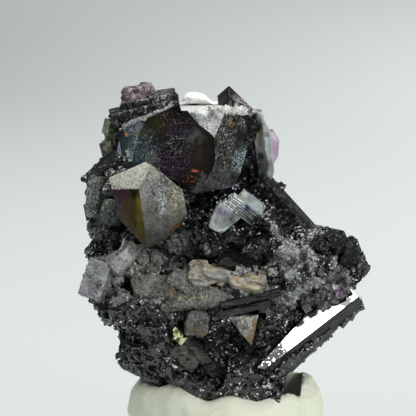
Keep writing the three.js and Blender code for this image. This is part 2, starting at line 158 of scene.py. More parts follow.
# %% Lay the floor
def laid_floor():
    bpy.ops.mesh.primitive_plane_add(size=16, location=(0, 0, 0))
    floor = bpy.context.object
    floor.name = "floor"
    material = bpy.data.materials.new("pale_floor")
    material.use_nodes = True
    tree = material.node_tree
    shader = tree.nodes["Principled BSDF"]
    place = add(tree, "ShaderNodeTexCoord").outputs["Object"]
    axes = axes_of(tree, place)
    depth = span(tree, axes[1], 0.35, 1.8, 0.66, 0.55)
    slope = maths(tree, "ADD", span(tree, axes[1], 0, 0.8, 0.2, 1.3), span(tree, axes[1], 0.9, 1.8, 0, -0.8))
    side = maths(tree, "MULTIPLY", span(tree, axes[0], -0.2, 0.2, -0.2, 0.2), slope)
    behind = span(tree, axes[1], -0.3, -0.02, 0.15, 1.0)
    beside = span(tree, maths(tree, "ABSOLUTE", axes[0]), 0.18, 0.4, 1.0, 0.12)
    lit = maths(tree, "MULTIPLY", behind, beside)
    glow = maths(tree, "MULTIPLY", maths(tree, "ADD", depth, side), lit)
    shader.inputs["Base Color"].default_value = (0.1, 0.104, 0.1, 1)
    shader.inputs["Roughness"].default_value = 0.9
    shader.inputs["Specular IOR Level"].default_value = 0.0
    shader.inputs["Emission Color"].default_value = (0.94, 1.0, 0.975, 1)
    tree.links.new(glow, shader.inputs["Emission Strength"])
    floor.data.materials.append(material)


laid_floor()
print("floor laid")

# %% Hang the lights
def softbox(name, at, towards, size, watts):
    light = bpy.data.lights.new(name, "AREA")
    light.shape = "RECTANGLE"
    light.size, light.size_y = size
    light.energy = watts
    lamp = bpy.data.objects.new(name, light)
    bpy.context.scene.collection.objects.link(lamp)
    lamp.location = at
    lamp.rotation_euler = (Vector(towards) - Vector(at)).to_track_quat("-Z", "Y").to_euler()


STONE_MIDDLE = (0, 0, 0.035)
softbox("main", (-0.47, -0.25, 0.56), STONE_MIDDLE, (0.3, 0.3), 2.1)
softbox("overhead", (0.04, 0.16, 0.62), (0, 0.02, 0.03), (0.5, 0.5), 4.9)
softbox("fill", (0.48, -0.5, 0.22), STONE_MIDDLE, (0.42, 0.42), 4.6)
world = bpy.data.worlds.new("studio")
world.use_nodes = True
sky = world.node_tree
sky.nodes["Background"].inputs[0].default_value = (0.94, 1.0, 0.975, 1)
seen = add(sky, "ShaderNodeLightPath").outputs["Is Camera Ray"]
sky.links.new(span(sky, seen, 0, 1, 0.05, 0.5), sky.nodes["Background"].inputs[1])
bpy.context.scene.world = world
bpy.context.scene.view_settings.view_transform = "Standard"

# %% [markdown]
# ## Finishes
#
# Every finish is procedural and reads Object coordinates, multiplied to millimetres, so the
# sizes in a graph are the sizes on the stone. Relief comes from small tilted planes, which
# catch the light one by one as crystal grains do.

# %% Start a finish
def finish(name, roughness, **constants):
    """A material, its tree, its shader and the place on the piece in millimetres."""
    material = bpy.data.materials.new(name)
    material.use_nodes = True
    tree = material.node_tree
    shader = tree.nodes["Principled BSDF"]
    shader.inputs["Roughness"].default_value = roughness
    for socket, value in constants.items():
        shader.inputs[socket.replace("_", " ")].default_value = value
    place = add(tree, "ShaderNodeTexCoord").outputs["Object"]
    return material, tree, shader, vectors(tree, "MULTIPLY", place, (1 / MM,) * 3)


def relief(tree, shader, height):
    """Bumps the surface by a height in millimetres."""
    sizes = {"Height": height, "Strength": 1.0, "Distance": MM}
    tree.links.new(add(tree, "ShaderNodeBump", sizes).outputs[0], shader.inputs["Normal"])


def painted(tree, shader, colour):
    tree.links.new(colour, shader.inputs["Base Color"])


def attribute(tree, name):
    return add(tree, "ShaderNodeAttribute", attribute_name=name).outputs["Fac"]


print("finish helpers ready")

# %% [markdown]
# ### Patches of colour
#
# A real crystal is never one colour. Patches are ellipses in the plane that faces the front,
# each with a place, a size, a colour, a grain and a cover. Noise frays their outlines and
# breaks them into flecks, so one list can hold a soft inner zone, a scuff, or painted glints,
# highlights and shade.

# %% Lay patches over a base colour
def patches(tree, place, colour, spots):
    """Lays ragged patches over a colour: (x, z, half width, half height, colour, grain, cover)."""
    if not spots:
        return colour
    stray = add(tree, "ShaderNodeTexNoise", {"Vector": place, "Scale": 0.6, "Detail": 3.0}).outputs["Color"]
    frayed = vectors(tree, "MULTIPLY", vectors(tree, "SUBTRACT", stray, (0.5, 0.5, 0.5)), (3, 3, 3))
    axes = axes_of(tree, vectors(tree, "ADD", place, frayed))
    for x, z, wide, high, tone, grain, cover in spots:
        across = maths(tree, "DIVIDE", maths(tree, "SUBTRACT", axes[0], x), wide)
        upward = maths(tree, "DIVIDE", maths(tree, "SUBTRACT", axes[2], z), high)
        squares = maths(tree, "ADD", maths(tree, "POWER", across, 2.0), maths(tree, "POWER", upward, 2.0))
        inside = span(tree, maths(tree, "SQRT", squares), *((1.4, 0.2) if grain < 1 else (1.2, 0.7)))
        edge = 0.64 - 0.28 * cover
        flecks = span(tree, noise(tree, place, grain, 3.0), edge, edge + (0.3 if grain < 1 else 0.1 / grain))
        colour = tint(tree, maths(tree, "MULTIPLY", inside, flecks), colour, tone)
    return colour


print("patches ready")

# %% [markdown]
# ### Ferberite
#
# Ferberite is nearly black with a metallic gleam, which a high index of refraction gives.
# Each grain has its own gloss. A sugary crust lies in zones that the mesh carries as an
# attribute, so the same finish serves bare stone and the crusted ledge. On the long blades
# the grains are drawn out along the blade, as growth lines are.

# %% Mix the ferberite finishes
def ferberite_finish(name, grain, slope, gloss, along, spots=(), *, dusty, index):
    """Grain is facets per mm, slope their lean, gloss the least and greatest roughness and dusty
    the share of pale dust; along draws the grains out in a direction."""
    material, tree, shader, place = finish(name, 0.35, IOR=index)
    lined = place
    if along:
        forth = Vector(along).normalized()
        across = Vector((-forth.z, 0, forth.x))
        parts = {0: maths(tree, "MULTIPLY", vectors(tree, "DOT_PRODUCT", place, forth), 0.16),
                 1: maths(tree, "MULTIPLY", vectors(tree, "DOT_PRODUCT", place, (0, 1, 0)), 0.4),
                 2: vectors(tree, "DOT_PRODUCT", place, across)}
        lined = add(tree, "ShaderNodeCombineXYZ", parts).outputs[0]
    height, cells = facets(tree, lined, grain, slope)
    fine, _ = facets(tree, lined, grain * 2.7, slope * 0.45)
    pick = axes_of(tree, cells.outputs["Color"])
    tone = span(tree, noise(tree, place, 0.35), 0.35, 0.7)
    black = tint(tree, tone, (0.002, 0.0026, 0.0023), (0.0085, 0.0112, 0.0098))
    dust = maths(tree, "MULTIPLY", span(tree, noise(tree, lined, 3.4, 4.0), 0.55, 0.64), dusty)
    stone = patches(tree, place, tint(tree, dust, black, (0.068, 0.082, 0.072)), spots)
    sugar = attribute(tree, "sugar")
    ochre = span(tree, noise(tree, place, 0.28, 3.0), 0.52, 0.66)
    ragged = maths(tree, "MULTIPLY", sugar, span(tree, noise(tree, place, 1.4, 4.0), 0.38, 0.5))
    crust = tint(tree, ochre, (0.36, 0.375, 0.36), (0.31, 0.295, 0.23))
    painted(tree, shader, tint(tree, ragged, stone, crust))
    dull = maths(tree, "ADD", span(tree, pick[1], 0.0, 1.0, *gloss), maths(tree, "MULTIPLY", sugar, 0.3))
    tree.links.new(dull, shader.inputs["Roughness"])
    relief(tree, shader, maths(tree, "ADD", height, fine))
    return material


PALE_DUST = (0.2, 0.22, 0.21)
# The pale patch on the flank is dust; the two near-black patches are painted shade in the front hollow and in
# the hollow under the flank.
FERBERITE = ferberite_finish("black_ferberite", 1.2, 1.2, (0.03, 0.24), None, [
    (-22.4, 43, 3, 7, (0.16, 0.18, 0.165), 2.0, 0.62), (5, 38.4, 2.6, 2, (0.001, 0.001, 0.001), 0.8, 1.8),
    (-20.6, 36.4, 2.8, 2.2, (0.001, 0.001, 0.001), 0.8, 1.8),
], dusty=0.42, index=1.84)
DUSTY_BLADE = ferberite_finish("dusty_blade", 1.5, 1.0, (0.12, 0.4), None, [
    (-13.4, 61.2, 3.6, 1.4, PALE_DUST, 3.4, 0.45), (-17.4, 60.6, 3, 0.6, PALE_DUST, 3.4, 0.4),
], dusty=0.4, index=1.5)
FLANK_BLADE = ferberite_finish("flank_blade", 0.9, 0.6, (0.2, 0.5), None, [
    (-23.6, 44, 2.4, 4.4, (0.13, 0.145, 0.13), 0.7, 1.3),
    (-23.4, 43.6, 2.4, 4.2, (0.46, 0.5, 0.45), 3.6, 0.3),
    (-20.6, 41.4, 2.2, 2.2, (0.1, 0.12, 0.105), 1.6, 0.8),
    (-22.6, 41.2, 1, 2.4, (0.01, 0.011, 0.01), 0.8, 1.4), (-22, 44.6, 1.6, 2.4, (0.3, 0.31, 0.26), 2.8, 0.3),
], dusty=0.8, index=1.5)
LEVEL_BLADE = ferberite_finish("level_blade", 1.3, 0.8, (0.1, 0.3), (0.98, 0, 0.21), [
    (-7, 16.4, 2.8, 2.4, (0.075, 0.07, 0.062), 1.6, 0.9),
], dusty=0.3, index=1.5)
BAND_BLADE = ferberite_finish("band_blade", 1.3, 0.6, (0.12, 0.34), (0.8, 0, 0.6), dusty=0.2, index=1.6)
STEEP_BLADE = ferberite_finish("steep_blade", 2.2, 0.9, (0.12, 0.35), None, [
    (3.6, 60.2, 3.2, 1.8, (0.34, 0.31, 0.32), 1.8, 0.66),
    (-0.4, 60.4, 1.6, 1.4, (0.02, 0.022, 0.02), 1.2, 0.9),
], dusty=0.06, index=1.34)
print("ferberite finishes:", FERBERITE.name, LEVEL_BLADE.name, STEEP_BLADE.name)

# %% Mix the mirror finish of one clean blade face
def mirror_finish():
    material, tree, shader, place = finish("ferberite_mirror", 0.08, Metallic=1.0)
    scratch = noise(tree, place, 0.4, 3.0)
    metal = tint(tree, span(tree, noise(tree, place, 1.4), 0.3, 0.42), (0.2, 0.2, 0.2), (0.66, 0.68, 0.67))
    painted(tree, shader, patches(tree, place, metal, [
        (8, 16.4, 3.4, 4.2, (0.02, 0.02, 0.02), 1.6, 0.95),
        (20.8, 26.8, 1.8, 1.8, (0.06, 0.06, 0.06), 1.6, 1.1),
    ]))
    tree.links.new(span(tree, scratch, 0.3, 0.7, 0.05, 0.14), shader.inputs["Roughness"])
    relief(tree, shader, maths(tree, "MULTIPLY", scratch, 0.04))
    return material


MIRROR = mirror_finish()
print("mirror finish:", MIRROR.name)

# %% [markdown]
# ### Fluorite
#
# Fluorite has a low index of 1.43. Weathered faces are frosted: rough, and salted with tiny
# facets. Broken faces are windows into the crystal: smooth and dark, and the colours of the
# phantoms show there as patches. Clear crystals let more of the light through. One recipe
# serves all of them, the crusts and the calcite too; only the numbers differ.

# %% Mix the fluorite recipe
FLUORITE_INDEX = 1.43


def fluorite_finish(name, pale, dark, spots=(), *, grain, slope, clear=0.2, rough=0.42, salt=0.5,
                    fade=None, shine=0.5):
    """Salt is the share of the colour that changes from facet to facet; the rest is cloudy.
    Fade is a pair of heights, between which the face darkens downwards."""
    constants = {"IOR": FLUORITE_INDEX, "Transmission_Weight": clear, "Specular_IOR_Level": shine}
    material, tree, shader, place = finish(name, rough, **constants)
    height, cells = facets(tree, place, grain, slope)
    fine, _ = facets(tree, place, grain * 2.3, slope)
    pick = axes_of(tree, cells.outputs["Color"])
    cloud = maths(tree, "MULTIPLY", span(tree, noise(tree, place, 0.4, 4.0), 0.32, 0.68), 1 - salt)
    share = maths(tree, "MULTIPLY_ADD", span(tree, pick[0], 0.25, 0.75), salt, cloud)
    if fade:
        height_now = axes_of(tree, place)[2]
        share = maths(tree, "MULTIPLY", share, span(tree, height_now, *fade, 0.1, 1.0))
    painted(tree, shader, patches(tree, place, tint(tree, share, dark, pale), spots))
    tree.links.new(span(tree, pick[1], 0, 1, rough * 0.6, rough * 1.3), shader.inputs["Roughness"])
    relief(tree, shader, maths(tree, "ADD", height, fine))
    return material


print("fluorite recipe ready, index", FLUORITE_INDEX)

# %% Mix the finishes of the front crystal
# Pale bluish scratches on the broad face, painted as bright as the light they catch: partly real wear, partly
# painted highlight.
SCUFF_AND_HIGHLIGHT = (0.6, 0.66, 0.68)
PURPLE = (0.045, 0.018, 0.04)
OLIVE = (0.06, 0.05, 0.003)
FRONT_BROAD = fluorite_finish("front_broad_face", (0.6, 0.6, 0.52), (0.015, 0.015, 0.013), [
    (-8, 41, 1.4, 2.6, (0.08, 0.075, 0.045), 2.2, 0.5), (-11.3, 44.4, 0.9, 2.2, SCUFF_AND_HIGHLIGHT, 2.6, 0.55),
    (-13.4, 46.6, 1.9, 2, (0.3, 0.25, 0.31), 1.6, 0.5), (-8.8, 44.6, 1.4, 2.2, (0.6, 0.52, 0.3), 3.0, 0.3),
], grain=3.2, slope=0.8, fade=(38, 47.5))
# The orange spot on the olive rim is a painted glint.
FRONT_RIM = fluorite_finish("front_olive_rim", (0.17, 0.15, 0.07), (0.05, 0.045, 0.02), [
    (-8.6, 39.6, 1.2, 0.8, (0.5, 0.14, 0.05), 2.0, 0.5),
], grain=1.6, slope=0.4, clear=0.3, rough=0.25, salt=0.5)
FRONT_UPPER = fluorite_finish("front_upper_face", (0.98, 0.96, 0.86), (0.3, 0.3, 0.25), [
    (-19.4, 46, 1.4, 1, (0.26, 0.22, 0.17), 2.4, 0.5),
], grain=4.2, slope=0.7, clear=0.08, rough=0.4, salt=0.6)
# The pale pinkish spot at the top of the window is a painted glint; the purple and olive patches are the
# phantoms' own colours.
FRONT_WINDOW = fluorite_finish("front_window", (0.04, 0.022, 0.006), (0.01, 0.006, 0.003), [
    (-18.6, 44.2, 2.2, 3, PURPLE, 0.5, 1.6), (-15.4, 41.4, 2.2, 7, OLIVE, 0.5, 1.7),
    (-15, 43.4, 0.8, 3.4, (0.16, 0.13, 0.012), 0.9, 1.2),
    (-17, 40.4, 1, 2.6, (0.035, 0.016, 0.004), 0.8, 1.2),
    (-18.9, 46.3, 1.0, 0.5, (0.5, 0.36, 0.3), 2.2, 0.5),
    (-16.1, 45.7, 1.1, 0.8, (0.004, 0.004, 0.004), 0.9, 1.8),
    (-18, 41.6, 0.8, 1.6, (0.06, 0.028, 0.01), 0.9, 1.2),
], grain=0.9, slope=0.1, clear=0.02, rough=0.08, salt=0.4, shine=0.18)
print("front finishes:", FRONT_BROAD.name, FRONT_UPPER.name, FRONT_WINDOW.name)

# %% Mix the finishes of the large crystal
# The blue-grey spot at (-5.6, 54.9) is a painted highlight, and the orange and pale green spots at the left
# and the two red spots low down are painted glints.
LARGE_WINDOW = fluorite_finish("large_window", (0.011, 0.01, 0.01), (0.003, 0.003, 0.003), [
    (-4.9, 53, 2.4, 4.6, (0.034, 0.026, 0.017), 0.5, 1.4),
    (-12.4, 57, 2.4, 2, (0.026, 0.026, 0.009), 0.6, 1.4),
    (-9.4, 50, 3.6, 2.6, (0.02, 0.009, 0.021), 0.5, 1.2),
    (-9, 55.6, 3.2, 2.2, (0.017, 0.009, 0.018), 0.6, 1.3),
    (-9, 53.6, 2.8, 2.6, (0.18, 0.2, 0.21), 3.8, 0.16), (-10.6, 50.6, 4.6, 3.4, (0.12, 0.13, 0.13), 4.4, 0.1),
    (-9.6, 57.4, 3.4, 2, (0.13, 0.1, 0.11), 3.6, 0.12),
    (-5.6, 54.9, 1.8, 1.3, (0.085, 0.095, 0.098), 0.8, 1.2),
    (-16.4, 52.8, 3, 3.8, (0.034, 0.054, 0.057), 0.6, 1.5),
    (-14.8, 53.4, 2.4, 3, (0.12, 0.17, 0.17), 3.4, 0.26),
    (-17.4, 55.3, 0.9, 0.45, (0.5, 0.2, 0.1), 2.2, 0.5), (-17.5, 51.2, 1, 0.8, (0.4, 0.46, 0.4), 1.4, 0.4),
    (-16.6, 56.6, 1.9, 0.9, (0.22, 0.2, 0.24), 2.4, 0.5),
    (-15.2, 55.2, 1.3, 0.9, (0.09, 0.075, 0.016), 0.9, 1.2),
    (-6.6, 47.2, 1.6, 0.7, (0.26, 0.05, 0.03), 2.8, 0.2),
    (-5.2, 48.5, 0.9, 0.25, (0.42, 0.1, 0.06), 1.6, 0.7),
], grain=1.0, slope=0.07, clear=0.02, rough=0.14, salt=0.4, shine=0.09)
FROST_PATCH = fluorite_finish("frosted_patch", (0.62, 0.63, 0.62), (0.1, 0.1, 0.1), [
    (-6.8, 58.2, 2, 1.8, (0.08, 0.11, 0.12), 2.6, 0.8), (-3, 56.4, 1.2, 1.6, (0.7, 0.7, 0.66), 2.2, 0.6),
    (-2.6, 59.9, 5, 1.1, (0.92, 0.92, 0.9), 2.2, 1.1),
], grain=3.6, slope=0.8, clear=0.1, rough=0.4, salt=0.7)
# The orange spot and the pale spot at (-17.7, 51.6) are painted glints.
TEAL_FACETS = fluorite_finish("teal_facets", (0.09, 0.13, 0.14), (0.02, 0.03, 0.033), [
    (-14.8, 53.4, 2.4, 3, (0.18, 0.25, 0.25), 2.8, 0.34), (-17.4, 55.3, 0.9, 0.45, (0.5, 0.2, 0.1), 2.2, 0.5),
    (-17.7, 51.6, 0.9, 0.9, (0.45, 0.52, 0.5), 0.9, 1.2),
    (-16.6, 56.6, 1.9, 0.9, (0.22, 0.2, 0.24), 2.4, 0.5),
    (-14.6, 51.6, 1.6, 1.8, (0.004, 0.005, 0.005), 0.7, 1.6),
    (-18.8, 53.2, 0.5, 3, (0.4, 0.38, 0.48), 1.6, 0.8),
], grain=1.2, slope=0.15, clear=0.05, rough=0.1, salt=0.4, shine=0.3)
DARK_FACE = fluorite_finish("dark_striated_face", (0.025, 0.023, 0.022), (0.004, 0.004, 0.004), [
    (0.3, 55, 1.5, 5, (0.2, 0.18, 0.17), 3.4, 0.3), (1.2, 58, 0.7, 1.7, (0.24, 0.17, 0.07), 1.4, 0.6),
    (3, 49.2, 1.8, 3.2, (0.26, 0.36, 0.37), 3.0, 0.6), (3.2, 57.6, 1, 1.6, (0.24, 0.26, 0.26), 2.8, 0.45),
    (1.6, 59.7, 2.6, 0.9, (0.85, 0.86, 0.84), 2.4, 1.0),
], grain=1.4, slope=0.6, clear=0.1, rough=0.2, salt=0.6)
# The violet-blue spot at its lower right edge is a painted sheen.
LOWER_FACET = fluorite_finish("lower_facet", (0.06, 0.056, 0.062), (0.02, 0.019, 0.021), [
    (-1.6, 47.6, 2.6, 2, (0.1, 0.095, 0.1), 2.4, 0.45), (0.6, 45.4, 1.6, 0.8, (0.17, 0.17, 0.27), 1.2, 0.7),
], grain=1.6, slope=0.5, clear=0.15, rough=0.3, salt=0.5)
WHITE_FROST = fluorite_finish("white_frost", (0.95, 0.95, 0.92), (0.4, 0.4, 0.39),
                              grain=2.6, slope=0.6, clear=0.05, rough=0.45, salt=0.7)
LILAC_EDGE = fluorite_finish("lilac_edge", (0.42, 0.39, 0.48), (0.05, 0.045, 0.06),
                             grain=1.6, slope=0.5, clear=0.2, rough=0.3, salt=0.7)
print("large finishes:", LARGE_WINDOW.name, FROST_PATCH.name, DARK_FACE.name, LOWER_FACET.name)

# %% Mix the finishes of the small crystals
def striped_finish(name, pale, dark, along, per_mm, spots, clear, rough):
    """Thin growth lines across a direction, in colour and in relief."""
    constants = {"IOR": FLUORITE_INDEX, "Transmission_Weight": clear}
    material, tree, shader, place = finish(name, rough, **constants)
    bend = maths(tree, "MULTIPLY", noise(tree, place, 0.5, 2.0), 0.3)
    across = maths(tree, "ADD", vectors(tree, "DOT_PRODUCT", place, along), bend)
    lines = add(tree, "ShaderNodeTexNoise", {"W": across, "Scale": per_mm, "Detail": 4.0},
                noise_dimensions="1D").outputs[0]
    base = tint(tree, span(tree, lines, 0.42, 0.6), dark, pale)
    painted(tree, shader, patches(tree, place, base, spots))
    chips, _ = facets(tree, place, 1.0, 0.2)
    relief(tree, shader, maths(tree, "MULTIPLY_ADD", lines, 0.35, chips))
    return material


# The two thin near-white lines along the left and lower edges are painted highlights.
CLEAR_GLASS = fluorite_finish("clear_glass", (0.86, 0.97, 0.93), (0.3, 0.36, 0.345), [
    (1.2, 40.8, 1.6, 1.6, (0.12, 0.14, 0.15), 0.8, 1.5), (-0.8, 42.3, 1, 0.9, (0.28, 0.16, 0.38), 0.8, 1.5),
    (-2.3, 40.6, 0.5, 2, (0.9, 0.98, 0.95), 1.2, 1.0), (-0.7, 39.2, 1.8, 0.4, (0.9, 0.98, 0.95), 1.2, 1.0),
    (0.8, 38.5, 1.8, 0.5, (0.2, 0.18, 0.08), 1.0, 1.2), (2.4, 45.4, 0.7, 0.6, (0.55, 0.52, 0.3), 1.0, 0.8),
], grain=0.8, slope=0.3, clear=0.5, rough=0.05, salt=0.4)
# The near-black patch over the right halves of the steps is painted shade, and the thin pale line across it a
# painted highlight.
CLEAR_STEPS = fluorite_finish("clear_steps", (0.62, 0.68, 0.7), (0.16, 0.18, 0.19), [
    (1.4, 44, 1.8, 1.8, (0.95, 0.98, 0.98), 2.4, 0.6), (4.2, 43.3, 0.9, 0.5, (0.1, 0.03, 0.2), 1.2, 1.2),
    (5.8, 40.6, 3.4, 2.4, (0.008, 0.008, 0.01), 0.8, 2.2), (6, 41.8, 1.6, 0.4, (0.5, 0.52, 0.52), 2.4, 0.4),
], grain=1.6, slope=0.4, clear=0.15, rough=0.08, salt=0.6)
REAR_PLATE = striped_finish("rear_plate", (0.9, 1, 0.99), (0.58, 0.68, 0.68), (1, 0.2, 0.12), 1.1, [
    (6.8, 46.8, 2.4, 3.4, (0.16, 0.19, 0.185), 0.6, 1.8), (5.9, 49.6, 2, 7, (0.005, 0.006, 0.005), 0.5, 2.2),
    (6.2, 55.4, 1, 2.8, (0.12, 0.1, 0.02), 0.6, 1.7), (7.3, 50, 0.4, 4.4, (0.1, 0.09, 0.07), 0.8, 1.4),
], clear=0.25, rough=0.12)
REAR_LILAC = fluorite_finish("rear_lilac", (0.52, 0.38, 0.54), (0.38, 0.27, 0.41), [
    (9, 54.6, 2, 1.1, (0.5, 0.49, 0.34), 0.6, 1.0), (9.6, 49, 2.4, 1.2, (0.56, 0.48, 0.58), 0.6, 1.2),
], grain=0.7, slope=0.12, clear=0.35, rough=0.2, salt=0.1)
CROWN_PURPLE = fluorite_finish("crown_purple", (0.42, 0.33, 0.36), (0.06, 0.03, 0.045), [
    (-18.2, 61.2, 1.2, 1, (0.12, 0.04, 0.06), 1.2, 0.7), (-13.2, 62.4, 1.6, 0.9, (0.5, 0.48, 0.45), 0.9, 0.8),
], grain=1.2, slope=0.4, clear=0.4, rough=0.1, salt=0.5)
RIM_OLIVE = fluorite_finish("rim_olive", (0.46, 0.47, 0.36), (0.07, 0.072, 0.05),
                            grain=1.3, slope=0.4, clear=0.35, rough=0.25, salt=0.6)
WEDGE = fluorite_finish("wedge_grey", (0.5, 0.5, 0.46), (0.1, 0.1, 0.09), [
    (5.3, 21.6, 0.9, 2.2, (0.2, 0.13, 0.055), 1.3, 1.1), (4.4, 19.6, 1, 1.2, (0.2, 0.13, 0.055), 1.2, 1.1),
    (2.8, 22, 1.2, 0.8, (0.07, 0.07, 0.07), 1.5, 0.6), (2.2, 23.2, 1.8, 0.7, (0.66, 0.67, 0.62), 1.8, 0.6),
], grain=1.4, slope=0.5, clear=0.2, rough=0.3, salt=0.6)
ROUND = fluorite_finish("round_grey", (0.19, 0.185, 0.175), (0.045, 0.042, 0.04), [
    (-4.6, 21, 1.6, 1, (0.2, 0.12, 0.06), 1.2, 0.7), (-5.8, 23.6, 1.2, 0.9, (0.24, 0.24, 0.25), 1.4, 0.4),
], grain=1.8, slope=0.5, clear=0.3, rough=0.25, salt=0.5)
print("small finishes:", CLEAR_GLASS.name, CLEAR_STEPS.name, REAR_PLATE.name, CROWN_PURPLE.name)

# %% Mix the crust, calcite, mica, pyrite and putty
LEDGE_SUGAR = fluorite_finish("ledge_sugar", (0.64, 0.66, 0.63), (0.1, 0.105, 0.1), [
    (-5, 29, 6, 2.4, (0.3, 0.25, 0.15), 0.7, 0.4), (14, 32, 5, 5, (0.25, 0.255, 0.25), 0.9, 0.4),
], grain=1.8, slope=0.5, clear=0.25, rough=0.35, salt=0.7)
# The near-black patch at the lower left is painted shade in the gaps of the crust, and the near-black one at
# the upper right a painted shadow; the brown one is the crystals' own colour.
LEFT_SUGAR = fluorite_finish("left_sugar", (0.72, 0.73, 0.7), (0.06, 0.064, 0.06), [
    (-17.2, 30.2, 1.6, 1.2, (0.2, 0.1, 0.2), 0.9, 0.7), (-24.6, 27.6, 1, 1.4, (0.36, 0.32, 0.4), 1.0, 0.6),
    (-14, 30.6, 3, 1.8, (0.15, 0.15, 0.12), 1.0, 0.6),
    (-20.4, 27.2, 2.4, 1.8, (0.008, 0.009, 0.008), 0.8, 1.7),
    (-13.6, 33, 2.4, 1.6, (0.1, 0.08, 0.055), 0.8, 1.5),
    (-13.2, 35.8, 2.8, 1.6, (0.006, 0.006, 0.006), 0.8, 1.9),
], grain=1.6, slope=0.5, clear=0.25, rough=0.25, salt=0.7)
RIGHT_SUGAR = fluorite_finish("right_sugar", (0.25, 0.26, 0.26), (0.025, 0.025, 0.027), [
    (19.4, 32.4, 0.6, 0.9, (0.14, 0.04, 0.2), 1.2, 0.8), (20.2, 28.4, 0.8, 1, (0.16, 0.05, 0.18), 1.2, 0.8),
    (18.6, 30, 2.6, 1.8, (0.12, 0.09, 0.13), 0.9, 0.6), (14, 29.4, 2.6, 2, (0.05, 0.055, 0.05), 0.8, 0.6),
], grain=1.5, slope=0.5, clear=0.35, rough=0.3, salt=0.7)
CALCITE = fluorite_finish("white_calcite", (0.97, 0.96, 0.94), (0.88, 0.87, 0.84),
                          grain=0.8, slope=0.15, clear=0.05, rough=0.6, salt=0.2)
# The near-white patch at (-18.3, 36) paints the small spike as bright as its glint: a painted highlight.
CLEAVED = fluorite_finish("cleaved_grey", (0.56, 0.58, 0.55), (0.08, 0.086, 0.08), [
    (-25, 27.4, 1.4, 1.6, (0.4, 0.36, 0.44), 0.8, 1.4), (-17, 30.8, 1.4, 1, (0.2, 0.1, 0.22), 0.9, 1.4),
    (-22.6, 28.4, 1.4, 2, (0.1, 0.105, 0.1), 1.4, 0.5), (-18.3, 36, 0.8, 1.6, (0.92, 0.93, 0.9), 0.9, 1.8),
], grain=3.4, slope=0.6, clear=0.2, rough=0.18, salt=0.4)
LEDGE_PLATE = fluorite_finish("ledge_plate", (0.42, 0.42, 0.38), (0.03, 0.03, 0.027), [
    (-6.4, 27.2, 3, 0.8, (0.5, 0.46, 0.3), 1.4, 0.5), (-9.6, 28.6, 1.6, 1.2, (0.16, 0.1, 0.045), 0.9, 1.2),
], grain=4.0, slope=0.8, clear=0.1, rough=0.4, salt=0.5)


def mica_finish():
    material, tree, shader, place = finish("ochre_mica", 0.4, IOR=1.58)
    slant = vectors(tree, "DOT_PRODUCT", place, (0.2, 0.3, 0.97))
    length = maths(tree, "MULTIPLY", vectors(tree, "DOT_PRODUCT", place, (0.97, 0, -0.2)), 0.45)
    sheets = add(tree, "ShaderNodeCombineXYZ", {0: length, 1: slant}).outputs[0]
    layer = span(tree, noise(tree, sheets, 1.3, 4.0), 0.32, 0.68)
    cloud = span(tree, noise(tree, place, 0.5), 0.42, 0.54)
    warm = tint(tree, layer, (0.2, 0.15, 0.07), (0.47, 0.41, 0.28))
    grey = tint(tree, layer, (0.1, 0.1, 0.088), (0.36, 0.36, 0.325))
    speck = maths(tree, "MULTIPLY", span(tree, noise(tree, place, 3.6), 0.52, 0.62), 0.7)
    painted(tree, shader, tint(tree, speck, tint(tree, cloud, warm, grey), (0.03, 0.028, 0.022)))
    height, _ = facets(tree, sheets, 1.4, 0.2)
    relief(tree, shader, maths(tree, "MULTIPLY_ADD", noise(tree, place, 3.0), 0.2, height))
    return material


def pyrite_finish():
    material, tree, shader, place = finish("brassy_pyrite", 0.2, Metallic=1.0)
    height, cells = facets(tree, place, 1.1, 0.5)
    pick = axes_of(tree, cells.outputs["Color"])
    painted(tree, shader, tint(tree, pick[0], (0.58, 0.54, 0.25), (0.86, 0.84, 0.52)))
    relief(tree, shader, height)
    return material


def putty_finish():
    material, tree, shader, place = finish("pale_putty", 0.62, IOR=1.45)
    cloud = noise(tree, place, 0.12, 4.0)
    painted(tree, shader, tint(tree, span(tree, cloud, 0.3, 0.7), (0.6, 0.63, 0.5), (0.68, 0.71, 0.58)))
    crumbs = maths(tree, "MULTIPLY", noise(tree, place, 1.4, 5.0), 0.12)
    relief(tree, shader, crumbs)
    return material


MICA, PYRITE, PUTTY = mica_finish(), pyrite_finish(), putty_finish()
print("minor finishes:", [m.name for m in (LEDGE_SUGAR, CALCITE, MICA, PYRITE, PUTTY)])

# %% [markdown]
# ## Working on meshes
#
# A CAD node is never changed. A piece that needs relief starts from a copy of its mesh, with
# the loose triangles merged. Modifiers, Geometry Nodes among them, are evaluated once and
# kept as a plain mesh, because the export wants pieces without live modifiers.

# %% Helpers for meshes
def new_piece(name, mesh):
    piece = bpy.data.objects.new(name, mesh)
    bpy.context.scene.collection.objects.link(piece)
    return piece


def mesh_from(bm, name):
    mesh = bpy.data.meshes.new(name)
    bm.to_mesh(mesh)
    bm.free()
    return mesh


def copy_of(node, name, flatten=True):
    """A new piece with a node's mesh, its triangles merged into whole faces."""
    bm = bmesh.new()
    bm.from_mesh(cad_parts[node].data)
    bmesh.ops.remove_doubles(bm, verts=bm.verts, dist=0.002 * MM)
    if flatten:
        bmesh.ops.dissolve_limit(bm, angle_limit=math.radians(0.5), verts=bm.verts, edges=bm.edges)
    return new_piece(name, mesh_from(bm, name))


def settle(piece):
    """Replaces a piece's mesh by what its modifiers make of it, and removes them."""
    graph = bpy.context.evaluated_depsgraph_get()
    mesh = bpy.data.meshes.new_from_object(piece.evaluated_get(graph))
    piece.modifiers.clear()
    old, piece.data = piece.data, mesh
    bpy.data.meshes.remove(old)
    mesh.name = piece.name
    return piece


def voxel_remesh(piece, size):
    remesh = piece.modifiers.new("voxels", "REMESH")
    remesh.mode = "VOXEL"
    remesh.voxel_size = size
    return settle(piece)


def points_of(mesh):
    flat = np.empty(len(mesh.vertices) * 3, np.float32)
    mesh.vertices.foreach_get("co", flat)
    return flat.reshape(-1, 3)


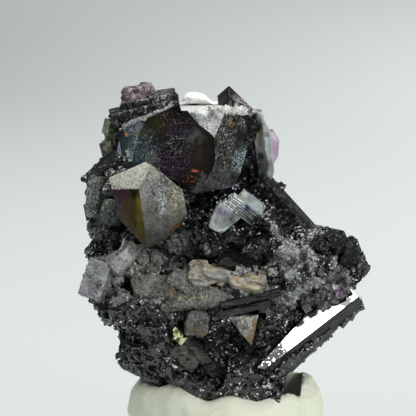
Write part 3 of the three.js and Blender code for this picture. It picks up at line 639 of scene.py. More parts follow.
def store(mesh, name, values):
    layer = mesh.attributes.get(name) or mesh.attributes.new(name, "FLOAT", "POINT")
    layer.data.foreach_set("value", np.asarray(values, np.float32))


def shaded(piece, sharp_from):
    """Smooth shading, with edges sharp from an angle in degrees."""
    for face in piece.data.polygons:
        face.use_smooth = True
    piece.data.set_sharp_from_angle(angle=math.radians(sharp_from))
    return piece


def softened(node, name, material, voxel, rounds):
    """A remeshed copy with its edges worn round."""
    piece = voxel_remesh(copy_of(node, name, False), voxel * MM)
    soften = piece.modifiers.new("soften", "SMOOTH")
    soften.factor = 0.5
    soften.iterations = rounds
    settle(piece)
    piece.data.materials.append(material)
    for face in piece.data.polygons:
        face.use_smooth = True
    return piece


def own(piece, slot, *nodes):
    """Every piece of the specimen moves as one body."""
    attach(piece, "root")
    if nodes:
        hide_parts(*nodes)
    triangles = sum(len(p.vertices) - 2 for p in piece.data.polygons)
    print(f"{piece.name}: {triangles} triangles")
    return piece


print("mesh helpers ready")

# %% [markdown]
# ## Blades with crisp faces
#
# Blades, cleavage plates, slabs and mica sheets have flat faces and sharp edges, which a
# voxel remesh would round off. They are made as convex blocks: six sides, trimmed by cuts,
# with a narrow bevel for the worn edges. The big blades stand where the CAD source has them.
# The plates, slabs and lumps lie on its forms as low facets, a few millimetres across.

# %% Build a crystal block from its faces
TINY = 1e-6


def turned(piece):
    roll, tilt, spin = (math.radians(piece.get(k, 0)) for k in ("roll", "tilt", "spin"))
    rotation = Matrix.Rotation(roll, 3, "Y") @ Matrix.Rotation(tilt, 3, "X")
    return rotation @ Matrix.Rotation(spin, 3, "Z")


def block_corners(piece):
    """The corners where three planes meet inside all the others."""
    planes = []
    for axis in range(3):
        for sign in (-1, 1):
            normal = [0.0, 0.0, 0.0]
            normal[axis] = sign
            planes.append((np.array(normal), piece["size"][axis] / 2))
    for normal, reach in piece.get("cuts", ()):
        direction = np.array(normal, float)
        planes.append((direction / np.linalg.norm(direction), reach))
    corners = []
    for trio in itertools.combinations(planes, 3):
        sides = np.array([normal for normal, _ in trio])
        if abs(np.linalg.det(sides)) < TINY:
            continue
        point = np.linalg.solve(sides, [reach for _, reach in trio])
        if all(normal @ point <= reach + TINY for normal, reach in planes):
            corners.append(point)
    rotation = np.array(turned(piece))
    return [(rotation @ c + np.array(piece["at"])) * MM for c in corners]


def add_block(bm, piece, bevel):
    part = bmesh.new()
    for corner in block_corners(piece):
        part.verts.new(corner)
    bmesh.ops.remove_doubles(part, verts=part.verts, dist=0.01 * MM)
    bmesh.ops.convex_hull(part, input=part.verts)
    loose = [v for v in part.verts if not v.link_faces]
    bmesh.ops.delete(part, geom=loose, context="VERTS")
    bmesh.ops.dissolve_limit(part, angle_limit=0.01, verts=part.verts, edges=part.edges)
    bmesh.ops.recalc_face_normals(part, faces=part.faces)
    bmesh.ops.bevel(part, geom=part.edges, offset=bevel * MM, segments=1, profile=0.5,
                    affect="EDGES", clamp_overlap=True)
    whole = mesh_from(part, "block")
    bm.from_mesh(whole)
    bpy.data.meshes.remove(whole)


def crisp_piece(name, blocks, material, bevel=0.12):
    bm = bmesh.new()
    for piece in blocks:
        add_block(bm, piece, bevel)
    made = new_piece(name, mesh_from(bm, name))
    made.data.materials.append(material)
    return made


print("block helpers ready")

# %% List the blades, in millimetres and degrees
FRONT_Y = -15
CROWN_Z = 59.5
MIRROR_BLADE = {
    "at": (15, FRONT_Y + 3, 20.4), "size": (26, 12, 12), "roll": -37, "tilt": 46,
    "cuts": [((-0.01, -0.1, 1), 3), ((0.01, -1, 0.32), 3.25), ((-0.22, 1, 0.63), 2.43),
             ((0.12, 1, 0.68), 2.83), ((1, 0.13, -0.09), 10.26), ((0.2, -0.9, -1), 2.54),
             ((-1, -0.56, -0.76), 7.14), ((0, 0.97, -1), 2.5)],
}
RIGHT_PRISM = {
    "at": (9.4, 3.4, 39.7), "size": (14.5, 8.6, 7.4), "roll": 48, "tilt": 4,
    "cuts": [((0, -1, 1), 5.2), ((0, 1, 1), 5)],
}
TOP_BLADES = [
    {"at": (2.6, 2.4, CROWN_Z - 0.9), "size": (8.6, 5.4, 3), "roll": 48, "tilt": 12, "spin": 16},
    {"at": (4, 3.2, CROWN_Z - 4.2), "size": (3.2, 5, 7), "roll": 8, "tilt": 4, "spin": -10},
]
RIGHT_KNOB = [
    {"at": (17, -9, 35.6), "size": (3.4, 4, 2.4), "roll": 38, "tilt": -8, "spin": -10},
    {"at": (19.5, -8.4, 36.2), "size": (2.6, 4, 3.8), "roll": -28, "tilt": 6, "spin": 12},
    {"at": (21.6, -8.2, 34.2), "size": (2.8, 4.4, 3.6), "roll": 22, "tilt": 10, "spin": 20},
]
LEFT_STACK = [
    {"at": (-15.6, 6, CROWN_Z - 1.2), "size": (10.6, 8, 2.8), "roll": -13, "tilt": 4, "spin": 5},
    {"at": (-14, 7.6, CROWN_Z + 0.8), "size": (9.6, 7.6, 2.2), "roll": -9, "tilt": 6, "spin": -4},
    {"at": (-11.6, 6.4, CROWN_Z + 1), "size": (5.4, 6.4, 2.6), "roll": -8, "tilt": 4, "spin": 10},
    {"at": (-21.8, 1, 48.5), "size": (7.4, 6, 1.8), "roll": -42, "tilt": 14},
]
FRONT_LATHS = [
    {"at": (4.4, FRONT_Y + 1.2, 27.2), "size": (11, 5, 1.1), "roll": -12, "tilt": 8},
    {"at": (3.2, FRONT_Y + 1.4, 25.5), "size": (9.6, 5, 1.3), "roll": -13, "tilt": 12},
    {"at": (-4.2, FRONT_Y + 2.6, 16.8), "size": (8.6, 5, 1.8), "roll": 54, "tilt": 6},
    {"at": (2.8, FRONT_Y + 2.4, 32.8), "size": (7.4, 4.4, 1.9), "roll": 30, "tilt": 24,
     "cuts": [((-1, 0, 0.6), 3), ((1, 0, 1), 3)]},
    {"at": (-7, FRONT_Y + 2.4, 16.2), "size": (5.4, 3.6, 3.4), "roll": 44, "tilt": -8, "spin": -10,
     "cuts": [((1, 0, 0.7), 2.6)]},
    {"at": (12.2, FRONT_Y + 4.4, 30.2), "size": (2.4, 3.4, 2.4), "roll": 10, "tilt": 12},
]
print("blades:", 2 + len(TOP_BLADES + RIGHT_KNOB + LEFT_STACK + FRONT_LATHS))

# %% List the plates, slabs, facets, lumps and sheets
LEFT_PLATES = [
    {"at": (-22.9, -11.8, 29.7), "size": (4.2, 3.4, 6.7), "roll": 19, "tilt": -8, "spin": -20,
     "cuts": [((1, 0, 0.8), 3.3)]},
    {"at": (-17.8, -12.4, 33.5), "size": (2.4, 3, 6), "roll": 48, "tilt": -10, "spin": -20,
     "cuts": [((0.5, 0, 1), 2.9), ((-0.7, -0.7, 0.1), 1.7)]},
    {"at": (-19.6, -11.6, 32.6), "size": (3, 2.8, 2.4), "roll": 52, "tilt": 12, "spin": 16},
    {"at": (-18.4, -10.6, 35.4), "size": (0.6, 0.6, 3.4), "roll": 16, "cuts": [((1, 0, 0.25), 0.45)]},
]
LEDGE_SLABS = [
    {"at": (-4.8, -14.5, 27.6), "size": (13.4, 3, 4.8), "roll": -4, "tilt": -26, "spin": -4,
     "cuts": [((-1, 0, 1.1), 2.8), ((0.5, 0, 1), 1.7), ((0.3, -1, -0.8), 1.9)]},
    {"at": (-7.4, -14.2, 29.2), "size": (5.4, 3, 3.4), "roll": 34, "tilt": -34, "spin": -14},
    {"at": (-12.6, -13.4, 28.4), "size": (8, 3, 4), "roll": 6, "tilt": -26, "spin": -14,
     "cuts": [((-1, 0, -0.5), 3.5), ((1, 0, 0.9), 3.6)]},
]
LEFT_FACETS = [
    {"at": (-16.9, -3.9, 53.4), "size": (3.6, 3, 5.4), "roll": 14, "tilt": -6, "spin": -34,
     "cuts": [((-1, -0.6, 0.5), 2.1)]},
    {"at": (-14.2, -4.3, 53.2), "size": (3.4, 2.6, 5.2), "roll": -24, "tilt": 12, "spin": 4,
     "cuts": [((0.4, -1, 0.8), 1.5)]},
    {"at": (-16.2, -4.2, 56), "size": (3.6, 2.4, 1.8), "roll": -22, "tilt": -20, "spin": -16},
]
FLANK_LUMPS = [
    {"at": (-23.3, -2.3, 43.6), "size": (3.4, 4.4, 7.6), "roll": 4, "spin": -6,
     "cuts": [((-1, -1, 0), 2.1), ((1, -1, 0), 2.1), ((-0.6, -0.4, 1), 3.2), ((-0.5, -0.5, -1), 3.2)]},
    {"at": (-20.4, -6.2, 41.2), "size": (4.2, 3.4, 4.6), "roll": 12, "tilt": -8, "spin": -12,
     "cuts": [((-1, -0.6, 0.4), 2.1), ((0.4, -1, -0.6), 1.9)]},
]
MICA_SHEETS = [
    {"at": (-4.5, -15.4, 30.5), "size": (4.4, 1, 3.2), "roll": 8, "tilt": -34, "spin": -6,
     "cuts": [((-1, 0, -1), 1.8), ((1, 0, -0.8), 2), ((-1, 0, 0.9), 2.2)]},
    {"at": (-0.4, -15.3, 30.9), "size": (7.6, 1, 2.2), "roll": 11, "tilt": -34, "spin": 2,
     "cuts": [((1, 0, 1.2), 2.9), ((-1, 0, -1.6), 2.4)]},
    {"at": (3.6, -16.4, 29.5), "size": (6.6, 1.2, 1.9), "roll": 9, "tilt": -36, "spin": 6,
     "cuts": [((1, 0, 0.9), 2.5), ((-1, 0, -0.8), 2.5), ((1, 0, -1.2), 2.1)]},
    {"at": (-4.8, -13, 32.8), "size": (3.4, 1, 1.2), "roll": 4, "tilt": -30, "spin": -10,
     "cuts": [((-1, 0, 1), 1.2), ((1, 0, 0.8), 1.5)]},
]
WEDGE_BLOCK = {
    "at": (3.6, -13.2, 21.9), "size": (8, 5, 8),
    "cuts": [((-0.06, 0, 1), 1.8), ((0.97, 0, -0.22), 1.76), ((-0.77, 0, -0.64), 1.5),
             ((-0.3, -0.9, 0.3), 2.2), ((0.5, -0.85, -0.1), 2.3)],
}
print("plates, slabs, facets, lumps and sheets:",
      [len(blocks) for blocks in (LEFT_PLATES, LEDGE_SLABS, LEFT_FACETS, FLANK_LUMPS, MICA_SHEETS)])

# %% Cut the blocks
mirror_blade = crisp_piece("mirror_blade", [MIRROR_BLADE], BAND_BLADE)
steep_blades = crisp_piece("steep_blades", [RIGHT_PRISM, *TOP_BLADES, *RIGHT_KNOB], STEEP_BLADE)
dusty_blades = crisp_piece("dusty_blades", LEFT_STACK, DUSTY_BLADE, 0.2)
laths = crisp_piece("front_laths", FRONT_LATHS, LEVEL_BLADE, 0.08)
left_plates = crisp_piece("left_plates", LEFT_PLATES, CLEAVED, 0.1)
ledge_slabs = crisp_piece("ledge_slabs", LEDGE_SLABS, LEDGE_PLATE, 0.25)
left_facets = crisp_piece("left_facets", LEFT_FACETS, TEAL_FACETS, 0.1)
flank_lumps = crisp_piece("flank_lumps", FLANK_LUMPS, FLANK_BLADE, 0.3)
CRISP = [mirror_blade, steep_blades, dusty_blades, laths, ledge_slabs, flank_lumps]
print("crisp pieces:", [piece.name for piece in CRISP])

# %% Give the facets and the mirror blade their second finishes
WORN_EDGE_AREA = 1.2 * MM * MM
TURNED_LEFT = -0.25
BRIGHT_FACE = Vector((-0.38, -0.785, 0.49)).normalized()
SAME_DIRECTION = 0.995
# Faces of the left facets turned to the left, towards the main softbox, take the paler teal finish and the
# others the dark window: partly the crystal's teal, partly painted light on its lit side.
left_facets.data.materials.append(LARGE_WINDOW)
left_facets.data.materials.append(LILAC_EDGE)
for face in left_facets.data.polygons:
    worn_edge = face.area < WORN_EDGE_AREA
    face.material_index = 2 if worn_edge else int(face.normal.x > TURNED_LEFT)
mirror_blade.data.materials.append(MIRROR)
for face in mirror_blade.data.polygons:
    face.material_index = int(face.normal.dot(BRIGHT_FACE) > SAME_DIRECTION)
print("bright faces:", sum(face.material_index for face in mirror_blade.data.polygons))

# %% Set rows of small teeth along the edges
def edge_teeth(name, start, end, count, seed, material, large=1.0):
    """Small blocks along an edge, each turned and sized at random."""
    draw = random.Random(seed)
    teeth = []
    for index in range(count):
        share = (index + draw.uniform(0.1, 0.9)) / count
        at = [a + (b - a) * share + draw.uniform(-0.35, 0.35) for a, b in zip(start, end)]
        size = [large * draw.uniform(*ends) for ends in ((0.8, 2.4), (1.2, 2.4), (0.6, 1.6))]
        teeth.append({"at": at, "size": size, "roll": draw.uniform(-70, -5), "tilt": draw.uniform(10, 60)})
    return crisp_piece(name, teeth, material, 0.05)


lower_teeth = edge_teeth("lower_teeth", (7.8, -15, 12.9), (23.6, -13.2, 25.4), 24, 8, FERBERITE)
mirror_crust = edge_teeth("mirror_crust", (16.8, -14.2, 25.4), (21.8, -14.4, 28), 22, 33, RIGHT_SUGAR, 0.7)
frost_rim = edge_teeth("frost_rim", (-18.4, -4.2, 56.2), (-9.6, -5.1, 60.2), 80, 15, FROST_PATCH, 0.32)
frost_ridge = edge_teeth("frost_ridge", (-2.6, -4.6, 59.7), (3.8, -1.7, 59.1), 46, 9, WHITE_FROST, 0.55)
print("rows of teeth:", [row.name for row in (lower_teeth, mirror_crust, frost_rim, frost_ridge)])

# %% [markdown]
# ## The stone
#
# The matrix is a jumble of broken blades. Sculpting it by hand would be slow, and noise
# alone looks like lava. So the copy is remeshed finely, and a Geometry Nodes tree moves
# each Voronoi cell of the surface to its own tilted plane. The cells are stretched along
# the blades, patch by patch, and calm down where a crisp blade already shows. Two hollows
# are sunk, the foot is pressed in on the right, and what lies before the bright face of the
# mirror blade is pressed back behind it.

# %% Build the tree that breaks a surface into blades
def group(name, **sizes):
    """An empty Geometry Nodes tree with a material and a named float input for each size."""
    tree = bpy.data.node_groups.new(name, "GeometryNodeTree")
    tree.interface.new_socket("Geometry", in_out="INPUT", socket_type="NodeSocketGeometry")
    tree.interface.new_socket("Geometry", in_out="OUTPUT", socket_type="NodeSocketGeometry")
    tree.interface.new_socket("material", in_out="INPUT", socket_type="NodeSocketMaterial")
    for size, value in sizes.items():
        socket = tree.interface.new_socket(size, in_out="INPUT", socket_type="NodeSocketFloat")
        socket.default_value = value
    return tree, tree.nodes.new("NodeGroupInput"), tree.nodes.new("NodeGroupOutput")


def close_group(tree, given, result, geometry):
    """Every tree ends alike: real meshes, in the given material."""
    real = add(tree, "GeometryNodeRealizeInstances", {0: geometry})
    coat = {"Geometry": real.outputs[0], "Material": given.outputs["material"]}
    coated = add(tree, "GeometryNodeSetMaterial", coat)
    tree.links.new(coated.outputs[0], result.inputs[0])
    return tree


def grow_with(piece, tree, **sizes):
    """Runs a tree on a piece with these inputs, and keeps the result as a plain mesh."""
    modifier = piece.modifiers.new(tree.name, "NODES")
    modifier.node_group = tree
    for socket in tree.interface.items_tree:
        if socket.in_out == "INPUT" and socket.name in sizes:
            modifier[socket.identifier] = sizes[socket.name]
    return settle(piece)


def named(tree, name):
    made = add(tree, "GeometryNodeInputNamedAttribute", {"Name": name}, data_type="FLOAT")
    return made.outputs["Attribute"]


def crush_tree():
    tree, given, result = group("crush", patch=8.0, blade=3.2, stretch=2.4, depth=1.0, grain=1.1, grit=0.3)
    place = vectors(tree, "MULTIPLY", add(tree, "GeometryNodeInputPosition").outputs[0], (1 / MM,) * 3)
    patch_scale = maths(tree, "DIVIDE", 1.0, given.outputs["patch"])
    patch = add(tree, "ShaderNodeTexVoronoi", {"Vector": place, "Scale": patch_scale})
    middle = vectors(tree, "SUBTRACT", place, patch.outputs["Position"])
    axes = axes_of(tree, patch.outputs["Position"])
    across = span(tree, axes[0], -15, 12, math.radians(38), math.radians(-40))
    level = span(tree, axes[2], 24, 29)
    lean = add(tree, "ShaderNodeMix", {0: level, 2: across, 3: math.radians(-10)}).outputs[0]
    mixed = axes_of(tree, patch.outputs["Color"])[0]
    angle = maths(tree, "ADD", lean, span(tree, mixed, 0, 1, -0.5, 0.5))
    turn = {"Vector": middle, "Axis": (0, 1, 0), "Angle": maths(tree, "MULTIPLY", angle, -1.0)}
    along = add(tree, "ShaderNodeVectorRotate", turn, rotation_type="AXIS_ANGLE").outputs[0]
    shifted = vectors(tree, "ADD", along, vectors(tree, "MULTIPLY", patch.outputs["Color"], (90, 90, 90)))
    moves = []
    for size, deep, slope in (("blade", "depth", 1.5), ("grain", "grit", 1.3)):
        narrow = maths(tree, "DIVIDE", 1.0, given.outputs[size])
        long = maths(tree, "DIVIDE", narrow, given.outputs["stretch"])
        shape = add(tree, "ShaderNodeCombineXYZ", {0: long, 1: narrow, 2: narrow}).outputs[0]
        scaled = vectors(tree, "MULTIPLY", shifted, shape)
        height, cells = facets(tree, scaled, 1.0, slope)
        pick = axes_of(tree, cells.outputs["Color"])
        step = maths(tree, "ADD", height, maths(tree, "SUBTRACT", pick[1], 0.5))
        moves.append(maths(tree, "MULTIPLY", step, given.outputs[deep]))
    rough = maths(tree, "MULTIPLY", maths(tree, "ADD", *moves), named(tree, "wild"))
    move = maths(tree, "SUBTRACT", rough, named(tree, "sink"))
    normal = add(tree, "GeometryNodeInputNormal").outputs[0]
    step = vectors(tree, "MULTIPLY", normal, evenly(tree, move))
    offset = vectors(tree, "MULTIPLY", step, (MM,) * 3)
    moved = add(tree, "GeometryNodeSetPosition", {"Geometry": given.outputs["Geometry"], "Offset": offset})
    return close_group(tree, given, result, moved.outputs[0])


CRUSH = crush_tree()
print("crush inputs:", [s.name for s in CRUSH.interface.items_tree if s.in_out == "INPUT"])

# %% Mark zones on the stone
def zone(points, ellipses, front=-4.0):
    """How far points lie inside any ellipse, seen from the front: (x, z, half width, half height)."""
    x, y, z = (points / MM).T
    inside = np.zeros(len(points))
    for middle_x, middle_z, wide, high in ellipses:
        out = np.hypot((x - middle_x) / wide, (z - middle_z) / high)
        inside = np.maximum(inside, np.clip((1.25 - out) / 0.5, 0, 1))
    return inside * np.clip((front - y) / 3, 0, 1)


SUGAR_ZONES = [(-4.2, 29.6, 13.0, 3.2), (11.6, 33.0, 6.6, 6.4), (17.4, 29.0, 5.0, 4.6),
               (-19.4, 31.0, 6.2, 4.0), (-6.0, 35.6, 4.0, 2.2), (3.4, 32.6, 5.0, 2.6),
               (6.2, 33.4, 1.1, 1.1), (8.2, 31.2, 1.1, 1.1), (10.2, 29.0, 1.1, 1.1), (12.4, 26.6, 1.1, 1.1)]
FLANK = [(-22.6, 44, 3.6, 9)]
HOLLOW = [(10.8, 46, 2.8, 3.2)]
FRONT_HOLLOW = [(5, 38.4, 2.6, 1.9)]
ANY_DEPTH = 30.0
KEPT_CLEAR = [*FLANK, *FRONT_HOLLOW, (-20.6, 36.4, 2.6, 2.2), (11.4, 46.6, 3.4, 4.6), (8, 57, 4, 5)]


def cloud_at(points, per_mm):
    return np.array([random_field.noise(Vector(p) * per_mm / MM) for p in points])


def sugar_cover(points):
    """The sugar zones, broken by bare gaps a few millimetres wide."""
    gaps = cloud_at(points, 0.32)
    bare = 1 - zone(points, FRONT_HOLLOW)
    return zone(points, SUGAR_ZONES) * np.clip((gaps + 0.2) / 0.2, 0, 1) * bare


def distance_to(points, pieces):
    """Distance from points to the nearest face of the pieces, in mm."""
    bm = bmesh.new()
    for piece in pieces:
        bm.from_mesh(piece.data)
    tree = BVHTree.FromBMesh(bm)
    bm.free()
    return np.array([tree.find_nearest(Vector(p))[3] for p in points]) / MM


def press_behind(mesh, blade, normal, margin):
    """Presses points that lie before a blade's bright faces back behind them."""
    bm = bmesh.new()
    bm.from_mesh(blade.data)
    bmesh.ops.delete(bm, geom=[f for f in bm.faces if f.material_index == 0], context="FACES")
    tree = BVHTree.FromBMesh(bm)
    bm.free()
    for vertex in mesh.vertices:
        nearest = tree.find_nearest(vertex.co, 3 * MM)[0]
        if nearest is None:
            continue
        offset = vertex.co - nearest
        before = offset.dot(normal)
        beside = (offset - normal * before).length
        if before > -margin * MM and beside < margin * MM:
            vertex.co -= normal * (before + margin * MM)


print("sugar zones:", len(SUGAR_ZONES))

# %% Remesh the stone and break it
STONE_VOXEL = 0.36
MIRROR_GAP = 0.4
FOOT_REACH, FOOT_PRESS = 9.6, 0.75
FOOT_TOP, FOOT_FADE = 16, 4


def rough_stone():
    stone = voxel_remesh(copy_of("matrix", "stone", False), STONE_VOXEL * MM)
    points = points_of(stone.data)
    near = distance_to(points, CRISP)
    calm = np.clip((near - 0.2) / 0.9, 0, 1)
    sugar = sugar_cover(points)
    flank = zone(points, FLANK, ANY_DEPTH)
    store(stone.data, "wild", calm * (1 - 0.55 * sugar) * (1 - 0.6 * flank))
    hollows = zone(points, HOLLOW, ANY_DEPTH) + zone(points, FRONT_HOLLOW)
    store(stone.data, "sink", (1 - calm) * 0.85 + 2.4 * hollows)
    grow_with(stone, CRUSH, material=FERBERITE)
    press_behind(stone.data, mirror_blade, BRIGHT_FACE, MIRROR_GAP)
    points = points_of(stone.data)
    x, _, z = (points / MM).T
    low = np.clip((FOOT_TOP - z) / FOOT_FADE, 0, 1)
    points[:, 0] -= FOOT_PRESS * MM * np.clip(x - FOOT_REACH, 0, None) * low
    stone.data.vertices.foreach_set("co", points.ravel())
    store(stone.data, "sugar", sugar_cover(points))
    return shaded(stone, 42)


stone = rough_stone()
print("stone vertices:", len(stone.data.vertices))

# %% [markdown]
# ## Small crystals that cover the surface
#
# Thousands of small blades, grains and sugar cubes sit on the stone. They repeat, so one
# Geometry Nodes tree scatters them: points on the surface, thinned by a mask, each with a
# shape from a small set, a random size and a random lean. The copies are realized at the
# end, since the export drops instances.

# %% Make the small shapes
def hull_shape(name, corners):
    bm = bmesh.new()
    for corner in corners:
        bm.verts.new(Vector(corner) * MM)
    bmesh.ops.convex_hull(bm, input=bm.verts)
    bmesh.ops.delete(bm, geom=[v for v in bm.verts if not v.link_faces], context="VERTS")
    return bpy.data.objects.new(name, mesh_from(bm, name))


def shape_set(name, count, seed, size, jitter):
    """A hidden collection of blocks of one size, with their corners shifted."""
    draw = random.Random(seed)
    shapes = bpy.data.collections.new(name)
    for index in range(count):
        corners = []
        for signs in itertools.product((-0.5, 0.5), repeat=3):
            lengths = [length * (1 + draw.uniform(-jitter, jitter)) for length in size]
            corners.append([sign * length for sign, length in zip(signs, lengths)])
        shapes.objects.link(hull_shape(f"{name}_{index}", corners))
    return shapes


LATH_SHAPES = shape_set("lath_shape", 6, 3, (1.0, 0.42, 0.26), 0.3)
GRAIN_SHAPES = shape_set("grain_shape", 6, 4, (1.0, 0.8, 0.6), 0.4)
CUBE_SHAPES = shape_set("cube_shape", 6, 5, (1.0, 1.0, 0.9), 0.12)
print("shape sets:", LATH_SHAPES.name, GRAIN_SHAPES.name, CUBE_SHAPES.name)

# %% Build the scatter tree
def scatter_tree(shapes):
    sizes = {"per_square_mm": 1.0, "smallest": 0.4, "largest": 1.0, "lean": 0.5, "seed": 1.0}
    tree, given, result = group("scatter_" + shapes.name, **sizes)
    density = maths(tree, "MULTIPLY", named(tree, "mask"), given.outputs["per_square_mm"])
    density = maths(tree, "DIVIDE", density, MM * MM)
    seed = maths(tree, "ROUND", given.outputs["seed"])
    spread = add(tree, "GeometryNodeDistributePointsOnFaces",
                 {"Mesh": given.outputs["Geometry"], "Density": density, "Seed": seed})
    lean = add(tree, "FunctionNodeRandomValue", {"Min": (-1, -1, -1), "Max": (1, 1, 1), "Seed": 3},
               data_type="FLOAT_VECTOR").outputs[0]
    lean = vectors(tree, "MULTIPLY", lean, evenly(tree, given.outputs["lean"]))
    upward = vectors(tree, "ADD", spread.outputs["Normal"], lean)
    spin = add(tree, "FunctionNodeRandomValue", {2: -0.6, 3: 0.6, "Seed": 5}).outputs[1]
    flow = maths(tree, "ADD", named(tree, "flow"), spin)
    along = add(tree, "ShaderNodeCombineXYZ",
                {0: maths(tree, "COSINE", flow), 2: maths(tree, "SINE", flow)}).outputs[0]
    lying = add(tree, "FunctionNodeAlignRotationToVector", {"Vector": along}, axis="X")
    facing = add(tree, "FunctionNodeAlignRotationToVector",
                 {"Rotation": lying.outputs[0], "Vector": upward}, axis="Z", pivot_axis="AUTO")
    dice = add(tree, "FunctionNodeRandomValue", {2: 0.0, 3: 1.0, "Seed": 7}).outputs[1]
    share = maths(tree, "POWER", dice, 2.2)
    ends = {0: share, 2: given.outputs["smallest"], 3: given.outputs["largest"]}
    sizes = evenly(tree, add(tree, "ShaderNodeMix", ends).outputs[0])
    info = add(tree, "GeometryNodeCollectionInfo", {"Collection": shapes, "Separate Children": True,
                                                     "Reset Children": True})
    placed = add(tree, "GeometryNodeInstanceOnPoints",
                 {"Points": spread.outputs["Points"], "Instance": info.outputs[0], "Pick Instance": True,
                  "Rotation": facing.outputs[0], "Scale": sizes})
    return close_group(tree, given, result, placed.outputs[0])


def scattered(name, host, mask, shapes, material, **sizes):
    """A new piece: small shapes on a host's surface, where the mask lets them grow."""
    store(host.data, "mask", mask)
    x, _, z = (points_of(host.data) / MM).T
    low = np.interp(x, (-15, 12), (-0.65, 0.7))
    store(host.data, "flow", np.where(z < 26, low, np.where(z < 33, 0.2, 0.5)))
    piece = new_piece(name, host.data.copy())
    grow_with(piece, scatter_tree(shapes), material=material, **sizes)
    for layer in [a.name for a in piece.data.attributes if a.name in ("mask", "flow", "wild", "sink")]:
        piece.data.attributes.remove(piece.data.attributes[layer])
    return piece


print("scatter tree ready")

# %% Scatter the blades, grains and sugar
PUTTY_TOP = 11
STONE_TOP = 61
points = points_of(stone.data)
sugar = sugar_cover(points)
clear_of_blades = np.clip((distance_to(points, CRISP) - 0.5) / 0.6, 0, 1)
above_putty = np.clip((points[:, 2] / MM - PUTTY_TOP) / 2, 0, 1)
clear_of_mirror = np.clip((distance_to(points, [mirror_blade]) - 1.4) / 0.8, 0, 1)
below_top = points[:, 2] < STONE_TOP * MM
clusters = cloud_at(points, 0.2)
bare = clear_of_blades * clear_of_mirror * below_top * above_putty * (1 - sugar)
bare *= (1 - zone(points, KEPT_CLEAR, ANY_DEPTH)) * np.clip((clusters + 0.28) / 0.25, 0.1, 1)
small_blades = scattered("small_blades", stone, bare, LATH_SHAPES, FERBERITE,
                         per_square_mm=0.4, smallest=0.9, largest=3.4, lean=0.12, seed=11)
grains = scattered("black_grains", stone, bare, GRAIN_SHAPES, FERBERITE,
                   per_square_mm=0.5, smallest=0.25, largest=0.8, lean=0.9, seed=12)
sugar_grains = scattered("sugar_grains", stone, sugar * clear_of_blades, CUBE_SHAPES, LEDGE_SUGAR,
                         per_square_mm=8.0, smallest=0.18, largest=0.7, lean=0.8, seed=13)
own(small_blades, "ferberite")
own(grains, "ferberite")
own(sugar_grains, "fluorite_crust")
own(stone, "ferberite", "matrix")
for piece in (mirror_blade, steep_blades, dusty_blades, laths, lower_teeth, flank_lumps):
    own(piece, "ferberite")


# %% Sugar the slabs and the plates
slab_sugar = scattered("slab_sugar", ledge_slabs, np.ones(len(ledge_slabs.data.vertices)), CUBE_SHAPES,
                       LEDGE_PLATE, per_square_mm=6.0, smallest=0.15, largest=0.5, lean=0.9, seed=14)
plate_sugar = scattered("plate_sugar", left_plates, np.ones(len(left_plates.data.vertices)), CUBE_SHAPES,
                        CLEAVED, per_square_mm=2.5, smallest=0.1, largest=0.4, lean=0.9, seed=16)
for piece in (left_plates, plate_sugar, ledge_slabs, slab_sugar, mirror_crust):
    own(piece, "fluorite_crust")
for piece in (frost_ridge, frost_rim, left_facets):
    own(piece, "fluorite_purple")


# %% [markdown]
# ## The large crystals
#
# Crystals keep their flat faces, so each copy only gets bevelled edges and, face by face,
# the finish that its side shows. A face that points within ten degrees of a named direction,
# and lies above its lowest height, gets that finish. Bevels get the finish of worn edges.

# %% Dress a crystal face by face
EDGE_ANGLE = 24
NEARNESS = 0.985
FROST_FLOOR = 54


def faced(node, name, sides, rest, edge, bevel=0.14):
    """sides are (direction, finish, lowest z in mm); other faces get the rest, worn edges the edge."""
    piece = copy_of(node, name)
    finishes = list(dict.fromkeys([side[1] for side in sides] + [rest, edge]))
    for material in finishes:
        piece.data.materials.append(material)
    for face in piece.data.polygons:
        chosen = rest
        for direction, material, *lowest in sides:
            alike = Vector(direction).normalized().dot(face.normal) > NEARNESS
            if alike and face.center.z > sum(lowest) * MM:
                chosen = material
        face.material_index = finishes.index(chosen)
    worn = piece.modifiers.new("worn_edges", "BEVEL")
    worn.width = bevel * MM
    worn.segments = 2
    worn.limit_method = "ANGLE"
    worn.angle_limit = math.radians(EDGE_ANGLE)
    worn.material = finishes.index(edge)
    return shaded(settle(piece), EDGE_ANGLE)


front = faced("front_fluorite", "front_crystal", [
    ((-0.11, -0.98, 0.13), FRONT_BROAD), ((-0.67, -0.61, 0.41), FRONT_UPPER),
    ((-0.71, -0.7, 0.01), FRONT_WINDOW),
], FRONT_RIM, FRONT_BROAD)
own(front, "fluorite_frosted", "front_fluorite")

large = faced("large_fluorite", "large_crystal", [
    ((0.78, -0.62, 0.07), DARK_FACE), ((0.21, -0.85, 0.49), FROST_PATCH, FROST_FLOOR),
    ((0.66, -0.68, -0.33), LOWER_FACET), ((0, 0, 1), WHITE_FROST, FROST_FLOOR),
    ((-0.43, -0.26, 0.86), FROST_PATCH, FROST_FLOOR),
], LARGE_WINDOW, LILAC_EDGE, 0.2)
own(large, "fluorite_purple", "large_fluorite")

# %% [markdown]
# ## The small crystals
#
# The clear crystal grew in steps: a block of glass, a stack of thin plates on it and a thicker
# plate on top, all turned alike. Blocks with real gaps show the steps better than painted
# lines. The rear and side crystals are the CAD shapes with fine bevels, and the wedge is one
# cut block.

# %% Stack the clear crystal
CLEAR_MIDDLE = Vector((-0.2, -12.6, 41.1))
CLEAR_ROLL = 37
CLEAR_TURN = Matrix.Rotation(math.radians(CLEAR_ROLL), 3, "Y")


def clear_block(along, forth, up, size, cuts=()):
    """A block of the clear crystal, placed along its growth steps and up across them."""
    at = CLEAR_MIDDLE + CLEAR_TURN @ Vector((along, forth, up))
    return {"at": tuple(at), "size": size, "roll": CLEAR_ROLL, "cuts": cuts}


